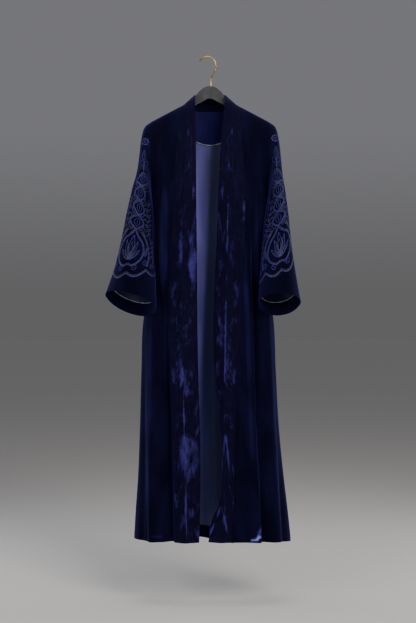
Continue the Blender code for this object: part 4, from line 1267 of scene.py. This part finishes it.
# a scroll whose radius changes evenly from first to last as it turns
def spiral(centre, first, last, start, turns):
    t = np.linspace(0, 1, 120)
    radius = first + (last - first) * t
    angle = math.radians(start) + turns * 2 * math.pi * t
    return np.stack([centre[0] + radius * np.cos(angle), centre[1] + radius * np.sin(angle)],
                    axis=1)


# a closed ring whose radius swells and shrinks by a cosine, once for each petal
def flower(centre, radius, petals, depth):
    t = np.linspace(0, 2 * math.pi, 160)
    r = radius * (1 - depth + depth * np.cos(petals * t))
    return np.stack([centre[0] + r * np.cos(t), centre[1] + r * np.sin(t)], axis=1)


# a path moved sideways by a distance
def beside(path, distance):
    ahead = np.gradient(path, axis=0)
    ahead = ahead / np.maximum(np.linalg.norm(ahead, axis=1, keepdims=True), 1e-9)
    return path + np.stack([-ahead[:, 1], ahead[:, 0]], axis=1) * distance


# The design as a list of stitched lines: path, kind of thread, half width and half height. A
# strand is a dark tape with a pale cord along each edge.
def design(leftEnd, rightEnd):
    lines = []
    tape, cord, fine = stitching["tape"], stitching["cord"], stitching["fine"]

    # one stitched line
    def stitch(path, thread, half, high=0.0004):
        lines.append((evenly(np.array(path, dtype=float), stitching["step"]), thread, half, high))

    def strand(path):
        path = evenly(np.array(path, dtype=float), stitching["step"])
        stitch(path, "dark", tape, 0.0003)
        for sign in (-1, 1):
            stitch(beside(path, sign * (tape + cord * 0.5)), "blue", cord)

    # the same path on each side of the line
    def both(points, put, *rest):
        path = np.array(points, dtype=float)
        for sign in (-1, 1):
            put(path * (sign, 1), *rest)

    v, radius = stitching["rosette"]
    stitch(flower((0, v), radius, 8, 0.10), "blue", cord * 1.2)
    stitch(flower((0, v), radius * 0.72, 1, 0.0), "grey", fine)
    stitch(flower((0, v), radius * 0.36, 4, 0.18), "blue", cord)

    v, half = stitching["bud"]
    stitch(leaf((0, v + 0.020), (0, v - 0.014), half * 0.45), "blue", cord)
    stitch([(0, v + 0.016), (0, v - 0.004)], "grey", fine)
    both(leaf((0.001, v + 0.040), (half, v + 0.010), 0.0035), stitch, "blue", cord)
    both(leaf((0.001, v + 0.052), (half * 0.9, v + 0.033), 0.0028), stitch, "grey", fine)
    stitch([(0, v + 0.020), (0, v + 0.060)], "blue", cord)

    # two strands that cross and part down the sleeve, with a seed in each eye
    top, foot, narrow, broad = stitching["braid"]
    share = np.linspace(0, 1, 260)
    swing = np.sin(share * 4 * math.pi) * (narrow + (broad - narrow) * share)
    both(np.stack([swing, top + (foot - top) * share], axis=1), strand)
    quarter = (foot - top) / 4
    for eye in range(4):
        middle = top + quarter * (eye + 0.5)
        size = (narrow + (broad - narrow) * (eye + 0.5) / 4) * 0.42
        stitch(leaf((0, middle + quarter * 0.30), (0, middle - quarter * 0.30), size, 1.0),
               "blue", cord)
        stitch([(0, middle + quarter * 0.14), (0, middle - quarter * 0.14)], "grey", cord)
    for knot in range(1, 5):
        middle = top + quarter * knot
        out = narrow + (broad - narrow) * knot / 4
        both(leaf((out * 0.42, middle), (out * 1.15, middle - 0.013), 0.0040), stitch, "blue",
             cord)
        both(leaf((out * 0.42, middle + 0.004), (out * 1.35, middle + 0.006), 0.0030), stitch,
             "grey", fine)

    # a wavy stem with leaves beside the strands
    share = np.linspace(0, 1, 160)
    stem = 0.036 + 0.010 * share + 0.005 * np.sin(share * 5 * math.pi)
    both(np.stack([stem, 0.215 + 0.120 * share], axis=1), stitch, "blue", cord)
    for number in range(7):
        v = 0.220 + 0.018 * number
        u = 0.038 + 0.0012 * number
        both(leaf((u, v + 0.012), (u + 0.014, v), 0.0034), stitch, "blue", fine)
        both(leaf((u - 0.002, v + 0.014), (u - 0.013, v + 0.006), 0.0026), stitch, "grey", fine)

    # a fan of five leaves in a pointed arch, with a scroll and a tendril on each side
    high, low = stitching["palmette"]
    stitch(leaf((0, low - 0.018), (0, high + 0.010), 0.0085, 0.9), "blue", cord)
    stitch(leaf((0, low - 0.028), (0, high + 0.030), 0.0040, 0.9), "grey", fine)
    for out, up, wide, thread in ((0.018, high + 0.030, 0.0062, "blue"),
                                  (0.030, high + 0.060, 0.0058, "blue"),
                                  (0.012, high + 0.046, 0.0028, "grey"),
                                  (0.024, high + 0.070, 0.0028, "grey")):
        both(leaf((0.002, low - 0.016), (out, up), wide), stitch, thread,
             cord if thread == "blue" else fine)
    arch = bend([(0.0, high - 0.010), (0.012, high + 0.010), (0.034, high + 0.036),
                 (0.043, high + 0.072), (0.034, low - 0.008), (0.014, low + 0.004),
                 (0.0, low - 0.004)])
    both(arch, strand)
    both(spiral((0.022, low + 0.014), 0.0105, 0.0020, 200, 1.35), stitch, "blue", cord)
    outer = bend([(0.024, high - 0.002), (0.044, high + 0.024), (0.058, high + 0.056),
                  (0.066, low - 0.012), (0.062, low + 0.012)])
    both(outer, strand)
    both(spiral((0.055, low - 0.002), 0.0100, 0.0018, 20, 1.4), stitch, "blue", cord)
    both(leaf((0.050, low - 0.022), (0.053, high + 0.052), 0.0040), stitch, "blue", cord)
    both(leaf((0.050, low - 0.027), (0.0525, high + 0.062), 0.0017), stitch, "grey", fine)
    for below in (0.030, 0.048, 0.066, 0.084):
        both(leaf((0.060 + below * 0.10, high + below + 0.008),
                  (0.073 + below * 0.12, high + below - 0.004), 0.0030), stitch, "blue", fine)
    tendril = bend([(0.050, high + 0.006), (0.072, high + 0.040), (0.084, high + 0.080),
                    (0.088, low + 0.006)])
    both(tendril, stitch, "grey", cord)
    both(spiral((0.080, low + 0.010), 0.0090, 0.0020, -20, 1.25), stitch, "blue", cord)

    # scallops all round the sleeve; they meet in a point on the line
    t = np.linspace(0, 1, 900)
    path = leftEnd + (rightEnd - leftEnd) * t
    wave = np.abs(np.sin((t - 0.5) * math.pi * stitching["scallops"]))
    for drop, thread, half in ((0.0, "blue", 0.0015), (-0.0058, "grey", fine),
                               (-0.0030, "dark", 0.0013)):
        v = stitching["border"] + drop + stitching["scallopDrop"] * wave
        stitch(np.stack([path, v], axis=1), thread, half, 0.0005)
    return lines


threads = {"blue": blueThread, "grey": greyThread, "dark": darkThread}
for side in ("left", "right"):
    surface, place, around = clothMap(side)
    bundles = {name: [] for name in threads}
    mirror = 1 if side == "right" else -1
    for path, thread, half, high in design(*around(stitching["border"])):
        # the lower part is raised toward the body, as it lies level on the hanging sleeve
        inward = np.clip(path[:, 0], 0, stitching["raiseTo"])
        inward = inward * (1 - ease(*stitching["raiseFade"], path[:, 0]))
        raised = stitching["tilt"][side] * inward * ease(*stitching["raiseFrom"], path[:, 1])
        across, down = place(path[:, 0] * mirror, path[:, 1] - raised)
        lift = stitching["lift"] + (stitching["overTape"] if thread != "dark" else 0.0)
        line, square = lineOn(surface, sleeveSides[side], across, down, lift)
        count = len(line)
        bundles[thread].append((line, square, np.full(count, half), np.full(count, high), False))
    for name, paths in bundles.items():
        piece = cordBundle("stitch_" + name + "_" + side, paths, threads[name])
        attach(piece, "root")
    wear(sleeveCloth[side], "sleeve_" + side, "velvet")
    print("embroidery made,", side)

# the hanger's board and hook keep their solids and get their own finishes
for node, material in (("hanger", board), ("hanger_hook", wireGold)):
    slots = bpy.data.objects[node].material_slots
    for number in range(len(slots)):
        slots[number].material = material

# the camera, level and square to the front: height is what it sees at the plane's distance
view = {"x": 0.0016, "z": -0.8135, "distance": 4.05, "height": 1.969, "plane": 4.0,
        "film": 36.0, "picture": (416, 623)}
camera = bpy.data.objects.new("camera", bpy.data.cameras.new("camera"))
bpy.context.scene.collection.objects.link(camera)
camera.location = (view["x"], -view["distance"], view["z"])
camera.rotation_euler = (math.pi / 2, 0.0, 0.0)
camera.data.sensor_fit = "VERTICAL"
camera.data.sensor_height = view["film"]
camera.data.sensor_width = view["film"] * view["picture"][0] / view["picture"][1]
camera.data.lens = view["film"] * view["plane"] / view["height"]
bpy.context.scene.camera = camera

# soft studio light: a large key above the right, a fill, and two strips that graze the velvet
lights = {
    "key": {"at": (1.4, -2.8, 0.9), "size": (1.6, 1.6), "power": 95, "tint": "fff6ec"},
    "fill": {"at": (-2.2, -2.8, -0.3), "size": (1.8, 2.2), "power": 42, "tint": "eef2ff"},
    "stripLeft": {"at": (-2.0, 0.9, -0.6), "size": (0.5, 2.2), "power": 16, "tint": "f2f4ff"},
    "stripRight": {"at": (2.0, 0.9, -0.6), "size": (0.5, 2.2), "power": 16, "tint": "f2f4ff"},
    "top": {"at": (0.0, -0.4, 1.6), "size": (1.4, 1.4), "power": 24, "tint": "ffffff"},
}
aim = Vector((0.0, 0.0, -0.75))
for name, row in lights.items():
    light = bpy.data.objects.new(name, bpy.data.lights.new(name, "AREA"))
    bpy.context.scene.collection.objects.link(light)
    light.data.shape = "RECTANGLE"
    light.data.size, light.data.size_y = row["size"]
    light.data.energy = row["power"]
    light.data.color = fromHex(row["tint"])[:3]
    light.location = row["at"]
    light.rotation_mode = "QUATERNION"
    light.rotation_quaternion = (aim - Vector(row["at"])).to_track_quat("-Z", "Y")

# plain pale floor: a wide square of matt paint, and a like grey all round as the world, which
# changes from low to high over a little of its height
room = {"floorZ": -1.74, "half": 40.0, "paint": "d6d4cf", "low": "676768", "high": "7c7c80",
        "light": 0.9, "highAt": 0.16}
floorPaint, tree, shader = newMaterial("matt floor paint, pale grey", {
    "Base Color": room["paint"], "Roughness": 0.85})
corners = [(x * room["half"], y * room["half"], room["floorZ"])
           for x, y in ((-1, -1), (1, -1), (1, 1), (-1, 1))]
floorMesh = bpy.data.meshes.new("floor")
floorMesh.from_pydata(corners, [], [(0, 1, 2, 3)])
floorMesh.materials.append(floorPaint)
floor = bpy.data.objects.new("floor", floorMesh)
bpy.context.scene.collection.objects.link(floor)
world = bpy.data.worlds.new("studio")
bpy.context.scene.world = world
world.use_nodes = True
tree = world.node_tree
height = addNode(tree, "TexCoord", {}, {}).outputs["Generated"]
height = addNode(tree, "SeparateXYZ", {}, {"Vector": height}).outputs["Z"]
height = addNode(tree, "MapRange", smooth, {
    "Value": height, "From Min": 0.0, "From Max": room["highAt"]})
tone = addNode(tree, "Mix", rgba, {0: height, 6: room["low"], 7: room["high"]})
tree.links.new(tone.outputs["Result"], tree.nodes["Background"].inputs["Color"])
tree.nodes["Background"].inputs["Strength"].default_value = room["light"]
print("camera, light and floor made")
